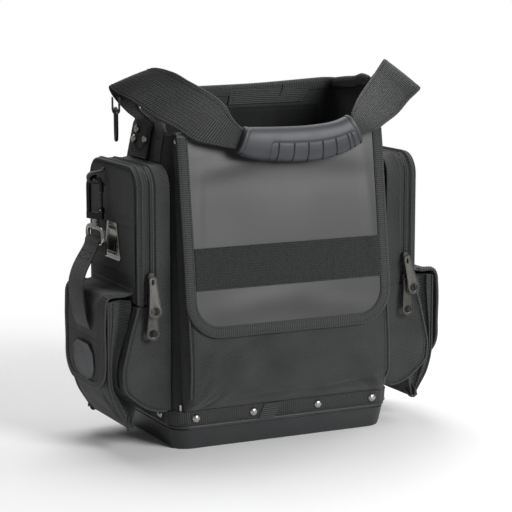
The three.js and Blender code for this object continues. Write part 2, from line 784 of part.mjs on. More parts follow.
// Gusset of the upper pocket and the wider compartment under it, one sewn shell that the body's
// side wall closes
function buildSidePocket() {
  const openX = SIDE_WALL_X - GUSSET_DEPTH;
  const overlap = SIDE_SEAM_HEIGHT - FABRIC - 1;
  const lower = lowerCorners(0);
  const outer = toSolid(skin([
    atX(sideOutline(0, overlap), SIDE_WALL_X),
    atX(sideOutline(0, overlap), GUSSET_X),
  ])).add(toSolid(prismAlongY(
    [[SIDE_WALL_X, SIDE_SEAM_HEIGHT], ...lower, [SIDE_WALL_X, POCKET_FOOT]],
    -SIDE_POCKET_FRONT,
    SIDE_POCKET_BACK,
  )));
  const hollowTop = toSolid(skin([
    atX(sideOutline(FABRIC, overlap - FABRIC), openX),
    atX(sideOutline(FABRIC, overlap - FABRIC), GUSSET_X + 1),
  ]));
  const hollowLow = toSolid(prismAlongY(
    [[openX, SIDE_SEAM_HEIGHT - FABRIC], ...lowerCorners(FABRIC), [openX, POCKET_FOOT + FABRIC]],
    -SIDE_POCKET_FRONT + FABRIC,
    SIDE_POCKET_BACK - FABRIC,
  ));
  return fromSolid(outer.subtract(hollowTop).subtract(hollowLow));
}

// Zipper tapes with their coil, running up the front, over the top and down the back
function buildZipper() {
  const path = sideOutline(ZIPPER_RECESS + FABRIC / 2, SIDE_SEAM_HEIGHT + GAP);
  const half = FABRIC / 2;
  const middle = ZIPPER_X + ZIPPER_WIDTH / 2;
  const rings = path.map((point, i) => {
    const before = path[Math.max(i - 1, 0)];
    const after = path[Math.min(i + 1, path.length - 1)];
    const length = Math.hypot(after[0] - before[0], after[1] - before[1]);
    const out = [-(after[1] - before[1]) / length, (after[0] - before[0]) / length];
    const level = (x, height) => [x, point[0] + out[0] * height, point[1] + out[1] * height];
    return [
      level(ZIPPER_X, -half),
      level(ZIPPER_X + ZIPPER_WIDTH, -half),
      level(ZIPPER_X + ZIPPER_WIDTH, half),
      level(middle + COIL_WIDTH / 2, half),
      level(middle + COIL_WIDTH / 2 - 0.8, half + COIL_HEIGHT),
      level(middle - COIL_WIDTH / 2 + 0.8, half + COIL_HEIGHT),
      level(middle - COIL_WIDTH / 2, half),
      level(ZIPPER_X, half),
    ];
  });
  return skin(rings);
}

// Shallow lid with a softened outer edge
function buildLid() {
  const foot = SIDE_SEAM_HEIGHT + GAP;
  const layer = (x, inset, lift) => atX(sideOutline(inset, foot + lift), x);
  return skin([
    layer(LID_FACE_X - FABRIC, FABRIC + 2.5, FABRIC),
    layer(LID_X + 5, FABRIC, FABRIC),
    layer(LID_X, FABRIC, FABRIC),
    layer(LID_X, 0, 0),
    layer(LID_X + 6, 0, 0),
    layer(LID_FACE_X, 2.5, 0),
  ]);
}

// Corners of the outer pocket's section, seen from the front
function outerPocketCorners(inset) {
  const reach = LID_FACE_X + LOWER_BULGE + OUTER_POCKET_REACH - inset;
  const hang = OUTER_POCKET_TOP - OUTER_POCKET_BOTTOM;
  const away = GAP + 0.9;
  const back = LOWER_LINE.slice(1).map((row) => [
    LID_FACE_X + LOWER_BULGE * row.out + away,
    SIDE_SEAM_HEIGHT * row.up,
  ]);
  const top = OUTER_POCKET_TOP;
  return [
    [LID_FACE_X + away, top],
    [reach, top],
    [reach, top - 0.55 * hang],
    [reach - 0.55 * OUTER_POCKET_REACH, top - 0.78 * hang],
    [reach - 1.5 * OUTER_POCKET_REACH, top - 0.91 * hang],
    [reach - 2.2 * OUTER_POCKET_REACH, OUTER_POCKET_BOTTOM + inset],
    ...back.toReversed(),
  ];
}

// How the hollow's corners move from the section's: the top ones go up past the mouth, and the
// back ones go in past the compartment behind
const OUTER_HOLLOW_MOVES = [
  { x: -LOWER_BULGE, z: FABRIC + 1 },
  { x: 0, z: FABRIC + 1 },
  { x: -0.5, z: 1 },
  { x: -0.5, z: 1 },
  { x: -0.5, z: 1 },
  { x: -LOWER_BULGE, z: FABRIC + 1 },
];

// Wedge pocket, open at the top and against the compartment behind it
function buildOuterPocket() {
  const half = OUTER_POCKET_HALF;
  const outer = toSolid(prismAlongY(outerPocketCorners(0), -half, half));
  const hollow = outerPocketCorners(FABRIC).map(([x, z], i) => {
    const move = OUTER_HOLLOW_MOVES[i] ?? { x: -LOWER_BULGE, z: 0 };
    return [x + move.x, z + move.z];
  });
  const inside = toSolid(prismAlongY(hollow, -half + FABRIC, half - FABRIC));
  return fromSolid(outer.subtract(inside));
}

// Path of the outer flap's middle, seen from the front: out over the pocket and down its face
function outerFlapPath() {
  const reach = LID_FACE_X + LOWER_BULGE + OUTER_POCKET_REACH;
  const face = reach + GAP + FABRIC;
  const seam = OUTER_FLAP_SEAM;
  return [
    [LID_FACE_X + GAP + FABRIC / 2, seam + 4],
    [LID_FACE_X + 3, seam],
    [LID_FACE_X + 0.5 * (reach - LID_FACE_X), seam - 1],
    [reach - 2, seam - 2],
    [face + 0.5, seam - 9],
    [face + 2, seam - 50],
  ];
}

function buildOuterFlap() {
  const path = outerFlapPath();
  const last = path[path.length - 1];
  const rows = path.map(([x, z]) => [[x, -OUTER_FLAP_HALF, z], [x, OUTER_FLAP_HALF, z]]);
  const cover = coverRows(last[1], OUTER_FLAP_BOTTOM, OUTER_FLAP_HALF, OUTER_FLAP_CORNER, [], 5);
  for (const row of cover.slice(1)) {
    rows.push([[last[0], -row.half, row.z], [last[0], row.half, row.z]]);
  }
  return ribbon(rows, FABRIC);
}

const FLAP_OUT_X = outerFlapPath().at(-1)[0] + FABRIC / 2 + GAP;

// Plain moulded badge with cut corners on the left flap
function buildBadge() {
  const middle = OUTER_FLAP_BOTTOM + 30;
  const outline = (shrink) => {
    const w = BADGE_HALF_WIDTH - shrink;
    const h = BADGE_HALF_HEIGHT - shrink;
    return [
      [-w, -0.2 * h], [-0.82 * w, -0.75 * h], [-0.35 * w, -h], [0.35 * w, -h],
      [0.82 * w, -0.75 * h], [w, -0.2 * h], [0.9 * w, 0.55 * h], [0.5 * w, h],
      [-0.5 * w, h], [-0.9 * w, 0.55 * h],
    ].map(([y, z]) => [y, z + middle]);
  };
  return skin([
    atX(outline(0), -FLAP_OUT_X),
    atX(outline(0), -FLAP_OUT_X - BADGE_THICKNESS * 0.6),
    atX(outline(2), -FLAP_OUT_X - BADGE_THICKNESS),
  ]);
}

// Domed rivet head whose axis points up before it is turned
function buildRivet() {
  const profile = [
    [0, 0], [RIVET_RADIUS, 0], [RIVET_RADIUS, 0.25], [0.8 * RIVET_RADIUS, 0.68],
    [0.45 * RIVET_RADIUS, 0.92], [0, 1],
  ].map(([radius, rise]) => new THREE.Vector2(radius, rise * RIVET_HEIGHT));
  const lathe = new THREE.LatheGeometry(profile, 10);
  return fromSolid(toSolid(lathe));
}

function addRivet(name, place, outward) {
  const mesh = addPart(name, buildRivet(), FINISH.nickel);
  mesh.position.set(...place);
  mesh.quaternion.setFromUnitVectors(new THREE.Vector3(0, 1, 0), new THREE.Vector3(...outward));
}

// Slider body with a raised bail that its pull hangs on, facing -Y
function buildSlider(bailHeight) {
  const half = SLIDER_WIDTH / 2;
  const long = SLIDER_LENGTH / 2;
  const plate = (shrink, y) => [
    [-half + shrink, y, -long + 2], [-0.5 * half, y, -long + shrink], [0.5 * half, y, -long + shrink],
    [half - shrink, y, -long + 2], [half - shrink, y, long - 3], [0.5 * half, y, long - shrink],
    [-0.5 * half, y, long - shrink], [-half + shrink, y, long - 3],
  ];
  const block = skin([plate(0, 0), plate(0, -SLIDER_HEIGHT + 1.2), plate(1, -SLIDER_HEIGHT)]);
  const post = (y, low, high) => [[-BAIL_HALF, y, high], [BAIL_HALF, y, high],
    [BAIL_HALF, y, low], [-BAIL_HALF, y, low]];
  const bail = skin([
    post(-SLIDER_HEIGHT + 1, BAIL_LOW, BAIL_LOW + 6),
    post(-SLIDER_HEIGHT - bailHeight, BAIL_LOW + 1, BAIL_LOW + 5),
  ]);
  return fromSolid(toSolid(block).add(toSolid(bail)));
}

// Pull tab that hangs from its window: a rounded plate with a window above and a hole below
function buildPull() {
  const half = PULL_WIDTH / 2;
  const shape = new THREE.Shape();
  shape.moveTo(-0.55 * half, 6);
  shape.lineTo(0.55 * half, 6);
  shape.lineTo(0.62 * half, -8);
  shape.lineTo(half, -PULL_LENGTH + 10 + half);
  shape.absarc(0, -PULL_LENGTH + 6 + half, half, 0, -Math.PI, true);
  shape.lineTo(-0.62 * half, -8);
  const windowHole = new THREE.Path();
  const wide = BAIL_HALF + 2 * GAP;
  windowHole.moveTo(-wide, 3.2);
  windowHole.lineTo(-wide, -5.2);
  windowHole.lineTo(wide, -5.2);
  windowHole.lineTo(wide, 3.2);
  shape.holes.push(windowHole, roundHole(0, -PULL_LENGTH + 6 + half, 0.58 * half, 12));
  const plate = new THREE.ExtrudeGeometry(shape, {
    depth: PULL_THICKNESS,
    bevelEnabled: false,
    curveSegments: 6,
  });
  plate.translate(0, 0, -PULL_THICKNESS / 2);
  plate.rotateX(QUARTER);
  return fromSolid(toSolid(plate));
}

const SLIDERS = [
  { name: "upper", high: 0.5, bail: 5.6, pullOut: 3.2, lean: 5.5 },
  { name: "lower", high: 0.436, bail: 3.1, pullOut: 1.4, lean: 0.5 },
];

function addSliders(side, sign) {
  const coil = ZIPPER_X + ZIPPER_WIDTH / 2;
  const front = -SIDE_POCKET_FRONT + ZIPPER_RECESS - COIL_HEIGHT - GAP;
  for (const item of SLIDERS) {
    const z = RIM_HEIGHT * item.high;
    const slider = addPart(`zipper_slider_${side}_${item.name}`, buildSlider(item.bail), FINISH.nickel);
    slider.position.set(sign * coil, front, z);
    const pull = addPart(`pull_tab_${side}_${item.name}`, buildPull(), FINISH.nickel);
    pull.position.set(sign * coil, front - SLIDER_HEIGHT - item.pullOut, z + BAIL_LOW + 3.5);
    pull.rotation.set(THREE.MathUtils.degToRad(-item.lean), 0, 0);
  }
}

// Sprung steel clip on the left lid: a ribbed trapezoid plate with one hole
function buildTapeClip() {
  const shape = new THREE.Shape();
  shape.moveTo(-CLIP_TOP_WIDTH / 2, CLIP_HEIGHT);
  shape.lineTo(-CLIP_BOTTOM_WIDTH / 2, 2);
  shape.lineTo(-CLIP_BOTTOM_WIDTH / 2 + 3, 0);
  shape.lineTo(CLIP_BOTTOM_WIDTH / 2 - 3, 0);
  shape.lineTo(CLIP_BOTTOM_WIDTH / 2, 2);
  shape.lineTo(CLIP_TOP_WIDTH / 2, CLIP_HEIGHT);
  shape.holes.push(roundHole(-0.25 * CLIP_BOTTOM_WIDTH, 0.25 * CLIP_HEIGHT, 3.5, 10));
  const plate = new THREE.ExtrudeGeometry(shape, {
    depth: CLIP_THICKNESS,
    bevelEnabled: false,
    curveSegments: 5,
  });
  plate.rotateX(QUARTER);
  plate.rotateZ(QUARTER);
  return fromSolid(toSolid(plate));
}

// Edge points of a handle row from its shares
function handleRow(row) {
  return [
    [row.outX * HALF_WIDTH, row.outY * HALF_DEPTH, row.outZ * RIM_HEIGHT],
    [row.inX * HALF_WIDTH, row.inY * HALF_DEPTH, row.inZ * RIM_HEIGHT],
  ];
}

function anchorRow(z, side, sign) {
  const x = sign * (bodySection(z)[side] + ANCHOR_SEAT + STRAP_THICKNESS / 2);
  const middle = ANCHOR_MIDDLE * HALF_DEPTH;
  const back = [x, middle + STRAP_WIDTH / 2, z];
  const front = [x, middle - STRAP_WIDTH / 2, z];
  return sign < 0 ? [back, front] : [front, back];
}

function gripAxis(row) {
  return [row.along * HALF_WIDTH, -GRIP_DEPTH_SHARE * HALF_DEPTH, row.high * RIM_HEIGHT];
}

// Directions along and across the grip at each of its places
function gripFrames() {
  const curve = new THREE.CatmullRomCurve3(
    GRIP_SECTIONS.map((row) => new THREE.Vector3(...gripAxis(row))),
  );
  const places = new Set(spread(0, 1, 9));
  const span = GRIP_SECTIONS.at(-1).along - GRIP_SECTIONS[0].along;
  for (const groove of FINGER_GROOVES) {
    const t = (groove - GRIP_SECTIONS[0].along) / span;
    for (const offset of [-0.014, 0, 0.014]) places.add(t + offset);
  }
  return [...places].sort((a, b) => a - b).map((t) => {
    const point = curve.getPointAt(t).toArray();
    const way = curve.getTangentAt(t).toArray();
    const share = GRIP_SECTIONS[0].along + span * t;
    const half = STRAP_WIDTH * read(GRIP_SECTIONS, "along", "half", share);
    const grooved = FINGER_GROOVES.some((groove) => Math.abs(groove - share) < 0.004);
    return { point, way, up: unit(cross([0, -1, 0], way)), half, grooved };
  });
}

// Moulded grip: an oval sleeve with finger grooves below, over the folded webbing
function buildGrip() {
  const sides = 14;
  const slotHalf = GRIP_STRAP_WIDTH / 2 + GAP;
  const slotDeep = STRAP_THICKNESS / 2 + GAP;
  const frames = gripFrames();
  const outer = frames.map((frame) => Array.from({ length: sides }, (_, j) => {
    const angle = (2 * Math.PI * j) / sides;
    const rise = Math.sin(angle);
    const cut = frame.grooved && rise < 0.1 ? FINGER_GROOVE_DEPTH : 0;
    const high = along(frame.point, frame.up, (frame.half - cut) * rise);
    return along(high, [0, 1, 0], (GRIP_HALF_DEPTH - cut) * Math.cos(angle));
  }));
  const slot = (frame, reach) => {
    const base = along(frame.point, frame.way, reach);
    return [[1, 1], [1, -1], [-1, -1], [-1, 1]].map(([a, b]) =>
      along(along(base, frame.up, a * slotHalf), [0, 1, 0], b * slotDeep));
  };
  const ends = [slot(frames[0], -1), ...frames.map((frame) => slot(frame, 0)), slot(frames.at(-1), 1)];
  return fromSolid(toSolid(skin(outer)).subtract(toSolid(skin(ends))));
}

function buildHandleStrap() {
  const inside = gripFrames().map((frame) => {
    const half = GRIP_STRAP_WIDTH / 2;
    return [along(frame.point, frame.up, -half), along(frame.point, frame.up, half)];
  });
  const heights = [SIDE_POCKET_TOP + 5 * GAP, ANCHOR_BEND * RIM_HEIGHT, ANCHOR_HIGH * RIM_HEIGHT];
  const leftAnchor = heights.map((z) => anchorRow(z, "left", -1));
  const rightAnchor = heights.map((z) => anchorRow(z, "right", 1)).toReversed();
  const left = smoothRows([leftAnchor.at(-1), ...HANDLE_LEFT.map(handleRow), inside[0]], 32);
  const right = smoothRows([inside.at(-1), ...HANDLE_RIGHT.map(handleRow), rightAnchor[0]], 30);
  return ribbon([
    ...leftAnchor.slice(0, -1), ...left,
    ...inside.slice(1, -1),
    ...right, ...rightAnchor.slice(1),
  ], STRAP_THICKNESS);
}

// Rings that hang in their webbing tabs: where each bar lies, how far its tab reaches up to the
// handle, and which way the bar points
const RING_PLACES = {
  left: { out: 1.2, side: 0.24, high: 0.952, rise: 14.6 },
  right: { out: 1.15, side: 0.24, high: 0.945, rise: 15.4 },
};
const RING_WAY = unit([0.35, 0.94, 0]);

function ringCentre(side, sign) {
  const place = RING_PLACES[side];
  return [sign * place.out * HALF_WIDTH, place.side * HALF_DEPTH, place.high * RIM_HEIGHT];
}

function ringWay(sign) {
  return [-sign * RING_WAY[0], RING_WAY[1], 0];
}

function buildDRing(side, sign) {
  const centre = ringCentre(side, sign);
  const way = ringWay(sign);
  const normal = cross(way, [0, 0, 1]);
  const spring = 0.42 * RING_DROP;
  const place = (s, drop) => along(along(centre, way, s), [0, 0, -1], drop);
  const bow = spread(0, Math.PI, 9).map((angle) => place(
    RING_HALF_WIDTH * Math.cos(angle),
    spring + (RING_DROP - spring) * Math.sin(angle),
  ));
  const bar = [-1, -0.86, 0.86, 1].map((share) =>
    place(RING_HALF_WIDTH * share, Math.abs(share) === 1 ? 2 : 0));
  return rod([...bar, ...bow], RING_ROD, normal, { loop: true });
}

// Webbing tab: down from under the handle, round the ring's bar and up again
function buildRingTab(side, sign) {
  const centre = ringCentre(side, sign);
  const way = ringWay(sign);
  const normal = cross(way, [0, 0, 1]);
  const turn = RING_ROD + RING_PLAY + FABRIC / 2;
  const { rise } = RING_PLACES[side];
  const place = (angle) => [turn * Math.cos(angle), turn * Math.sin(angle)];
  const path = [[turn, rise], ...spread(0, -Math.PI, 7).map(place), [-turn, rise]];
  const rows = path.map(([s, z]) => {
    const middle = along(along(centre, normal, s), [0, 0, 1], z);
    return [along(middle, way, -RING_TAB_WIDTH / 2), along(middle, way, RING_TAB_WIDTH / 2)];
  });
  return ribbon(rows, FABRIC);
}

// Snap hook, clipped to a keeper on the left lid. Its loop lies in a plane turned to the front
const SNAP_WAY = unit([0.45, -0.89, 0]);
const SNAP_ACROSS = cross(SNAP_WAY, [0, 0, 1]);
const SNAP_X = -LID_FACE_X - 13;
const SNAP_Y = 0.3 * HALF_DEPTH;
const SNAP_BASE_Z = 0.66 * RIM_HEIGHT;
const SNAP_TOP_Z = SNAP_BASE_Z + 44;
const SNAP_EYE_Z = SNAP_BASE_Z - 27;
const GATE_PIN_UP = 4;
const GATE_PIN_RADIUS = 1;

function snapPlace(s, up, across = 0) {
  const flat = along([SNAP_X, SNAP_Y, SNAP_BASE_Z + up], SNAP_WAY, s);
  return along(flat, SNAP_ACROSS, across);
}

function snapBlock(s0, s1, up0, up1, thick, middle = 0) {
  const ring = (up) => [[s0, -1], [s1, -1], [s1, 1], [s0, 1]].map(([s, side]) =>
    snapPlace(s, up, middle + (side * thick) / 2));
  return toSolid(skin([ring(up0), ring(up1)]));
}

function buildSnapBody() {
  const half = SNAP_HALF_WIDTH;
  const shoulder = SNAP_TOP_Z - SNAP_BASE_Z - half;
  const over = spread(Math.PI, 0, 9).map((angle) =>
    snapPlace(half * Math.cos(angle), shoulder + half * Math.sin(angle)));
  const hook = toSolid(rod(
    [snapPlace(-half, -2), snapPlace(-half, 0.5 * shoulder), ...over, snapPlace(half, shoulder - 7)],
    SNAP_ROD,
    SNAP_ACROSS,
  ));
  const heel = snapBlock(-half - SNAP_ROD, half + SNAP_ROD, -8, 1, 6);
  const cheeks = [-2.2, 2.2].map((side) =>
    snapBlock(half - SNAP_ROD, half + SNAP_ROD, 0, GATE_PIN_UP + 3, 1.4, side));
  const pin = toSolid(rod(
    [snapPlace(half, GATE_PIN_UP, -2.8), snapPlace(half, GATE_PIN_UP, 2.8)],
    GATE_PIN_RADIUS,
    SNAP_WAY,
  ));
  const barrel = toSolid(rod(
    [snapPlace(0, -7), snapPlace(0, SNAP_EYE_Z - SNAP_BASE_Z + 7)],
    4.5,
    SNAP_ACROSS,
    { sides: 10 },
  ));
  const eyeTop = SNAP_EYE_Z + 9;
  const eyeLow = SNAP_EYE_Z - 9;
  const rim = SNAP_EYE_HALF - SNAP_ROD;
  const eye = toSolid(rod(
    [[-rim, eyeTop - 5], [-rim + 6, eyeTop], [rim - 6, eyeTop], [rim, eyeTop - 5],
      [rim, eyeLow + 3], [rim - 3, eyeLow], [-rim + 3, eyeLow], [-rim, eyeLow + 3]]
      .map(([y, z]) => [SNAP_X, SNAP_Y + y, z]),
    SNAP_ROD,
    [1, 0, 0],
    { loop: true },
  ));
  return fromSolid([...cheeks, pin, barrel, eye].reduce((sum, next) => sum.add(next), hook.add(heel)));
}

function buildSnapGate() {
  const half = SNAP_HALF_WIDTH;
  const shoulder = SNAP_TOP_Z - SNAP_BASE_Z - half;
  const bar = snapBlock(half - 2, half + 2, GATE_PIN_UP, shoulder - 7 - 2 * GAP, 2.2);
  const knuckle = toSolid(rod(
    [snapPlace(half, GATE_PIN_UP, -1.1), snapPlace(half, GATE_PIN_UP, 1.1)],
    2.6,
    SNAP_WAY,
    { sides: 12 },
  ));
  const bore = toSolid(rod(
    [snapPlace(half, GATE_PIN_UP, -2), snapPlace(half, GATE_PIN_UP, 2)],
    GATE_PIN_RADIUS + 0.25,
    SNAP_WAY,
    { sides: 12 },
  ));
  return fromSolid(bar.add(knuckle).subtract(bore));
}

// Webbing keeper: a closed loop from the lid's face round the hook's top
function buildSnapKeeper() {
  const near = -LID_FACE_X - GAP - FABRIC / 2;
  const far = SNAP_X - SNAP_ROD - 5;
  const top = SNAP_TOP_Z + SNAP_ROD + 3;
  const low = SNAP_TOP_Z - SNAP_ROD - 4.5;
  const half = KEEPER_WIDTH / 2;
  const path = [[near, top + 5], [near - 2, top + 2], [SNAP_X, top], [far, top - 3], [far, low + 3],
    [SNAP_X, low], [near - 2, low - 1], [near, low - 4]];
  return ribbon(path.map(([x, z]) => [[x, SNAP_Y - half, z], [x, SNAP_Y + half, z]]), FABRIC);
}

// Webbing that hangs from the hook's eye in a loop to the left flap
function buildHangStrap() {
  const eye = SNAP_EYE_Z - 9;
  const row = (out, z, side, width = STRAP_WIDTH - 4) => {
    const x = -LID_FACE_X - out;
    const y = side * HALF_DEPTH;
    return [[x, y - width / 2, z], [x, y + width / 2, z]];
  };
  const front = HANG_ROUTE.map(({ out, down, side }) =>
    row(out * HANG_FALL, eye - down * HANG_FALL, side));
  const turn = SNAP_ROD + 2 * GAP + FABRIC / 2;
  const eyeOut = -SNAP_X - LID_FACE_X;
  const eyeSide = SNAP_Y / HALF_DEPTH;
  const over = spread(0, Math.PI, 7).map((angle) =>
    row(eyeOut + turn * Math.cos(angle), eye + turn * Math.sin(angle), eyeSide));
  const behind = [6, 14].map((drop) => row(eyeOut - turn, eye - drop, eyeSide));
  return ribbon([...smoothRows(front, 16), ...over, ...behind], FABRIC);
}

addPart("base_tray", buildBase(), FINISH.polymer);
addPart("tote_shell", buildShell(), FINISH.nylon);
addPart("base_band", buildBand(), FINISH.webbing);
addPart("rim_binding", buildRimBinding(), FINISH.webbing);
addPart("inner_hanger", buildHanger(), FINISH.webbing);
addPart("front_pocket", buildFrontPocket(), FINISH.nylon);
addPart("front_flap", buildFrontFlap(), FINISH.coated);
addPart("flap_binding", buildFlapBinding(), FINISH.webbing);
addPart("flap_loop_strip", buildLoopStrip(), FINISH.webbing);

for (const [side, sign] of [["left", -1], ["right", 1]]) {
  addPart(`side_pocket_${side}`, mirrored(buildSidePocket(), sign), FINISH.nylon);
  addPart(`side_zipper_${side}`, mirrored(buildZipper(), sign), FINISH.nylon);
  addPart(`side_lid_${side}`, mirrored(buildLid(), sign), FINISH.nylon);
  addPart(`outer_pocket_${side}`, mirrored(buildOuterPocket(), sign), FINISH.nylon);
  addPart(`outer_flap_${side}`, mirrored(buildOuterFlap(), sign), FINISH.nylon);
  addPart(`d_ring_${side}`, buildDRing(side, sign), FINISH.blackMetal);
  addPart(`ring_tab_${side}`, buildRingTab(side, sign), FINISH.webbing);
  addSliders(side, sign);
}

addPart("flap_badge", buildBadge(), FINISH.badge);
const clip = addPart("tape_clip", buildTapeClip(), FINISH.steel);
clip.position.set(-LID_FACE_X - GAP - CLIP_THICKNESS, 0, 0.533 * RIM_HEIGHT);
addPart("snap_body", buildSnapBody(), FINISH.blackMetal);
addPart("snap_gate", buildSnapGate(), FINISH.blackMetal);
addPart("snap_keeper", buildSnapKeeper(), FINISH.webbing);
addPart("hang_strap", buildHangStrap(), FINISH.webbing);
addPart("handle_grip", buildGrip(), FINISH.rubber);
addPart("handle_strap", buildHandleStrap(), FINISH.webbing);

// Rivets through the band, and through the handle's anchors
const rivetZ = FABRIC_FOOT + BAND_WIDTH / 2;
const bandOut = 2 * GAP + BAND_THICKNESS;
BAND_RIVETS.forEach((share, i) => {
  const x = share * HALF_WIDTH;
  addRivet(`band_rivet_front_${i + 1}`, [x, -HALF_DEPTH - bandOut, rivetZ], [0, -1, 0]);
  addRivet(`band_rivet_back_${i + 1}`, [x, HALF_DEPTH + bandOut, rivetZ], [0, 1, 0]);
});
for (const [side, sign] of [["left", -1], ["right", 1]]) {
  BAND_SIDE_RIVETS.forEach((share, i) => {
    const place = [sign * (HALF_WIDTH + bandOut), share * HALF_DEPTH, rivetZ];
    addRivet(`band_rivet_${side}_${i + 1}`, place, [sign, 0, 0]);
  });
  HANDLE_RIVETS.forEach((row, i) => {
    const z = row.high * RIM_HEIGHT;
    const seat = ANCHOR_SEAT + STRAP_THICKNESS + ANCHOR_RIVET_SEATS[side];
    const x = sign * (bodySection(z)[side] + seat);
    addRivet(`handle_rivet_${side}_${i + 1}`, [x, row.side * HALF_DEPTH, z], [sign, 0, 0]);
  });
}

export default tote;
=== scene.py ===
"""Dressed model of an open-topped tool tote: sewn nylon on a moulded base, with webbing and metal."""

import json
import logging
import math
from dataclasses import dataclass
from enum import Enum
from typing import Any, Callable, NamedTuple, Sequence

import bpy
import numpy as np
from mathutils import Euler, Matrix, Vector

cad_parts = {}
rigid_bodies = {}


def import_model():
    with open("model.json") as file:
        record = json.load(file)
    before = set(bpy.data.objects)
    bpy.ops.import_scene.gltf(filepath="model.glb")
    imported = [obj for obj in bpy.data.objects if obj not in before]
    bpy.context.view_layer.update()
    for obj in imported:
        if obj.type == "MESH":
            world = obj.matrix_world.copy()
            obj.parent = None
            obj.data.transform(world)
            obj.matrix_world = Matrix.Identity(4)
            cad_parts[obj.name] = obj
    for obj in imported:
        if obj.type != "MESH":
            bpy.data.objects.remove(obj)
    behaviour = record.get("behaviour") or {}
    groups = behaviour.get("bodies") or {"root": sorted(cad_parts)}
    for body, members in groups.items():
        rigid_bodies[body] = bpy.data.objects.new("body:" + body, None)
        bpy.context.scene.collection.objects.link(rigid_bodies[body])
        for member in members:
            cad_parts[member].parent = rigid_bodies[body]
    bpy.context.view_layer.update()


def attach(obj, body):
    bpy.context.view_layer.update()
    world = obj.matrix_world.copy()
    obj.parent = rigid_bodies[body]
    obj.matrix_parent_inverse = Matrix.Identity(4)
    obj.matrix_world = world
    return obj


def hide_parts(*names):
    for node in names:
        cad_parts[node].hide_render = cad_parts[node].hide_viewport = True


for leftover in [item for item in bpy.data.objects if item.name in ("Cube", "Light", "Camera")]:
    bpy.data.objects.remove(leftover)
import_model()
LOG = logging.getLogger("tote")

Array = np.ndarray
Socket = bpy.types.NodeSocket
Tree = bpy.types.NodeTree

MM = 0.001
TAU = 2 * math.pi
ROOT = "tote"

# Sizes shared by several sub-assemblies, in millimetres, as in the part's source
HALF_WIDTH = 150.0
HALF_DEPTH = 85.0
RIM_HEIGHT = 432.0
FABRIC_FOOT = 30.8
BAND_TOP = 49.8
FABRIC = 2.0
WEBBING = 1.9
BAND_RIVET_HEIGHT = 9.5
LID_FACE_X = 194.0
SEAM_HEIGHT = 182.0
ANCHOR_Y = 16.15

# Directions that seams and fittings face
TO_FRONT = (0.0, -1.0, 0.0)
TO_BACK = (0.0, 1.0, 0.0)
TO_RIGHT = (1.0, 0.0, 0.0)
UPRIGHT = (0.0, 0.0, 1.0)


class Side(Enum):
    """The two sides of the tote, with the sign of X on each."""

    LEFT = -1
    RIGHT = 1

    @property
    def word(self) -> str:
        """The side's word in the nodes' names."""
        return self.name.lower()


# ---- tables


def monotone(places: Array, table: Sequence[Sequence[float]], value: int) -> Array:
    """Read one column of a table on a monotone cubic, whose slopes are harmonic means.

    Args:
        places: Where to read, in the units of the table's first column.
        table: Rows that rise in their first column.
        value: Index of the column to read.

    Returns:
        The values, clamped to the table's ends.
    """
    rows = np.asarray(table, dtype=float)
    x, y = rows[:, 0], rows[:, value]
    step = np.diff(x)
    slope = np.diff(y) / step
    product = slope[:-1] * slope[1:]
    total = slope[:-1] + slope[1:]
    inner = np.where(product > 0, 2 * product / np.where(total == 0, 1, total), 0)
    slopes = np.concatenate([[slope[0]], inner, [slope[-1]]])
    at = np.clip(np.asarray(places, dtype=float), x[0], x[-1])
    i = np.clip(np.searchsorted(x, at, side="right") - 1, 0, len(step) - 1)
    return hermite(at, x, y, slopes, i)


def hermite(at: Array, x: Array, y: Array, slopes: Array, i: Array) -> Array:
    """Evaluate the cubic of span i that has the given ends and end slopes.

    Args:
        at: Where to read.
        x: The knots.
        y: Values at the knots, one column or several.
        slopes: Slopes at the knots.
        i: The span of knots that each place lies in.

    Returns:
        The curve's values.
    """
    h = x[i + 1] - x[i]
    t = (at - x[i]) / h
    if y.ndim > 1:
        t, h = t[:, None], h[:, None]
    rise = y[i + 1] - y[i]
    curve = (3 - 2 * t) * t * t * rise + t * (1 - t) ** 2 * h * slopes[i]
    return y[i] + curve - t * t * (1 - t) * h * slopes[i + 1]


def smooth_path(points: Sequence[Sequence[float]], count: int) -> Array:
    """A smooth curve through chosen points, spaced evenly along its length.

    The knots are the summed square roots of the chords, and each slope is the mean of its two
    chords' slopes, weighted by the other chord.

    Args:
        points: The chosen points.
        count: How many points to return.

    Returns:
        The curve's points, count by 3.
    """
    given = np.asarray(points, dtype=float)
    chord = np.sqrt(np.linalg.norm(np.diff(given, axis=0), axis=1))
    knots = np.concatenate([[0], np.cumsum(chord)])
    slope = np.diff(given, axis=0) / chord[:, None]
    mean = (slope[:-1] * chord[1:, None] + slope[1:] * chord[:-1, None]) / (
        chord[:-1, None] + chord[1:, None]
    )
    slopes = np.vstack([slope[:1], mean, slope[-1:]])
    fine = np.linspace(0, knots[-1], 40 * len(given))
    i = np.clip(np.searchsorted(knots, fine, side="right") - 1, 0, len(chord) - 1)
    return resample(hermite(fine, knots, given, slopes, i), count)


def arc_length(path: Array) -> Array:
    """Distance of each of the path's points from its start."""
    return np.concatenate([[0], np.cumsum(np.linalg.norm(np.diff(path, axis=0), axis=1))])


def closed_length(ring: Array) -> Array:
    """Distance of each of a closed ring's points from its first one."""
    return arc_length(np.concatenate([ring, ring[:1]]))[:-1]


def read_along(at: Array, length: Array, values: Array) -> Array:
    """Each column of values, read at lengths along a path on straight lines between its points."""
    return np.stack([np.interp(at, length, column) for column in values.T], axis=-1)


def resample(path: Array, count: int) -> Array:
    """The same path with its points spaced evenly along its length."""
    length = arc_length(path)
    return read_along(np.linspace(0, length[-1], count), length, path)


def mesh_of(*axes: Any) -> Array:
    """Points from arrays of their coordinates, stretched to one common shape."""
    return np.stack(np.broadcast_arrays(*axes), axis=-1)


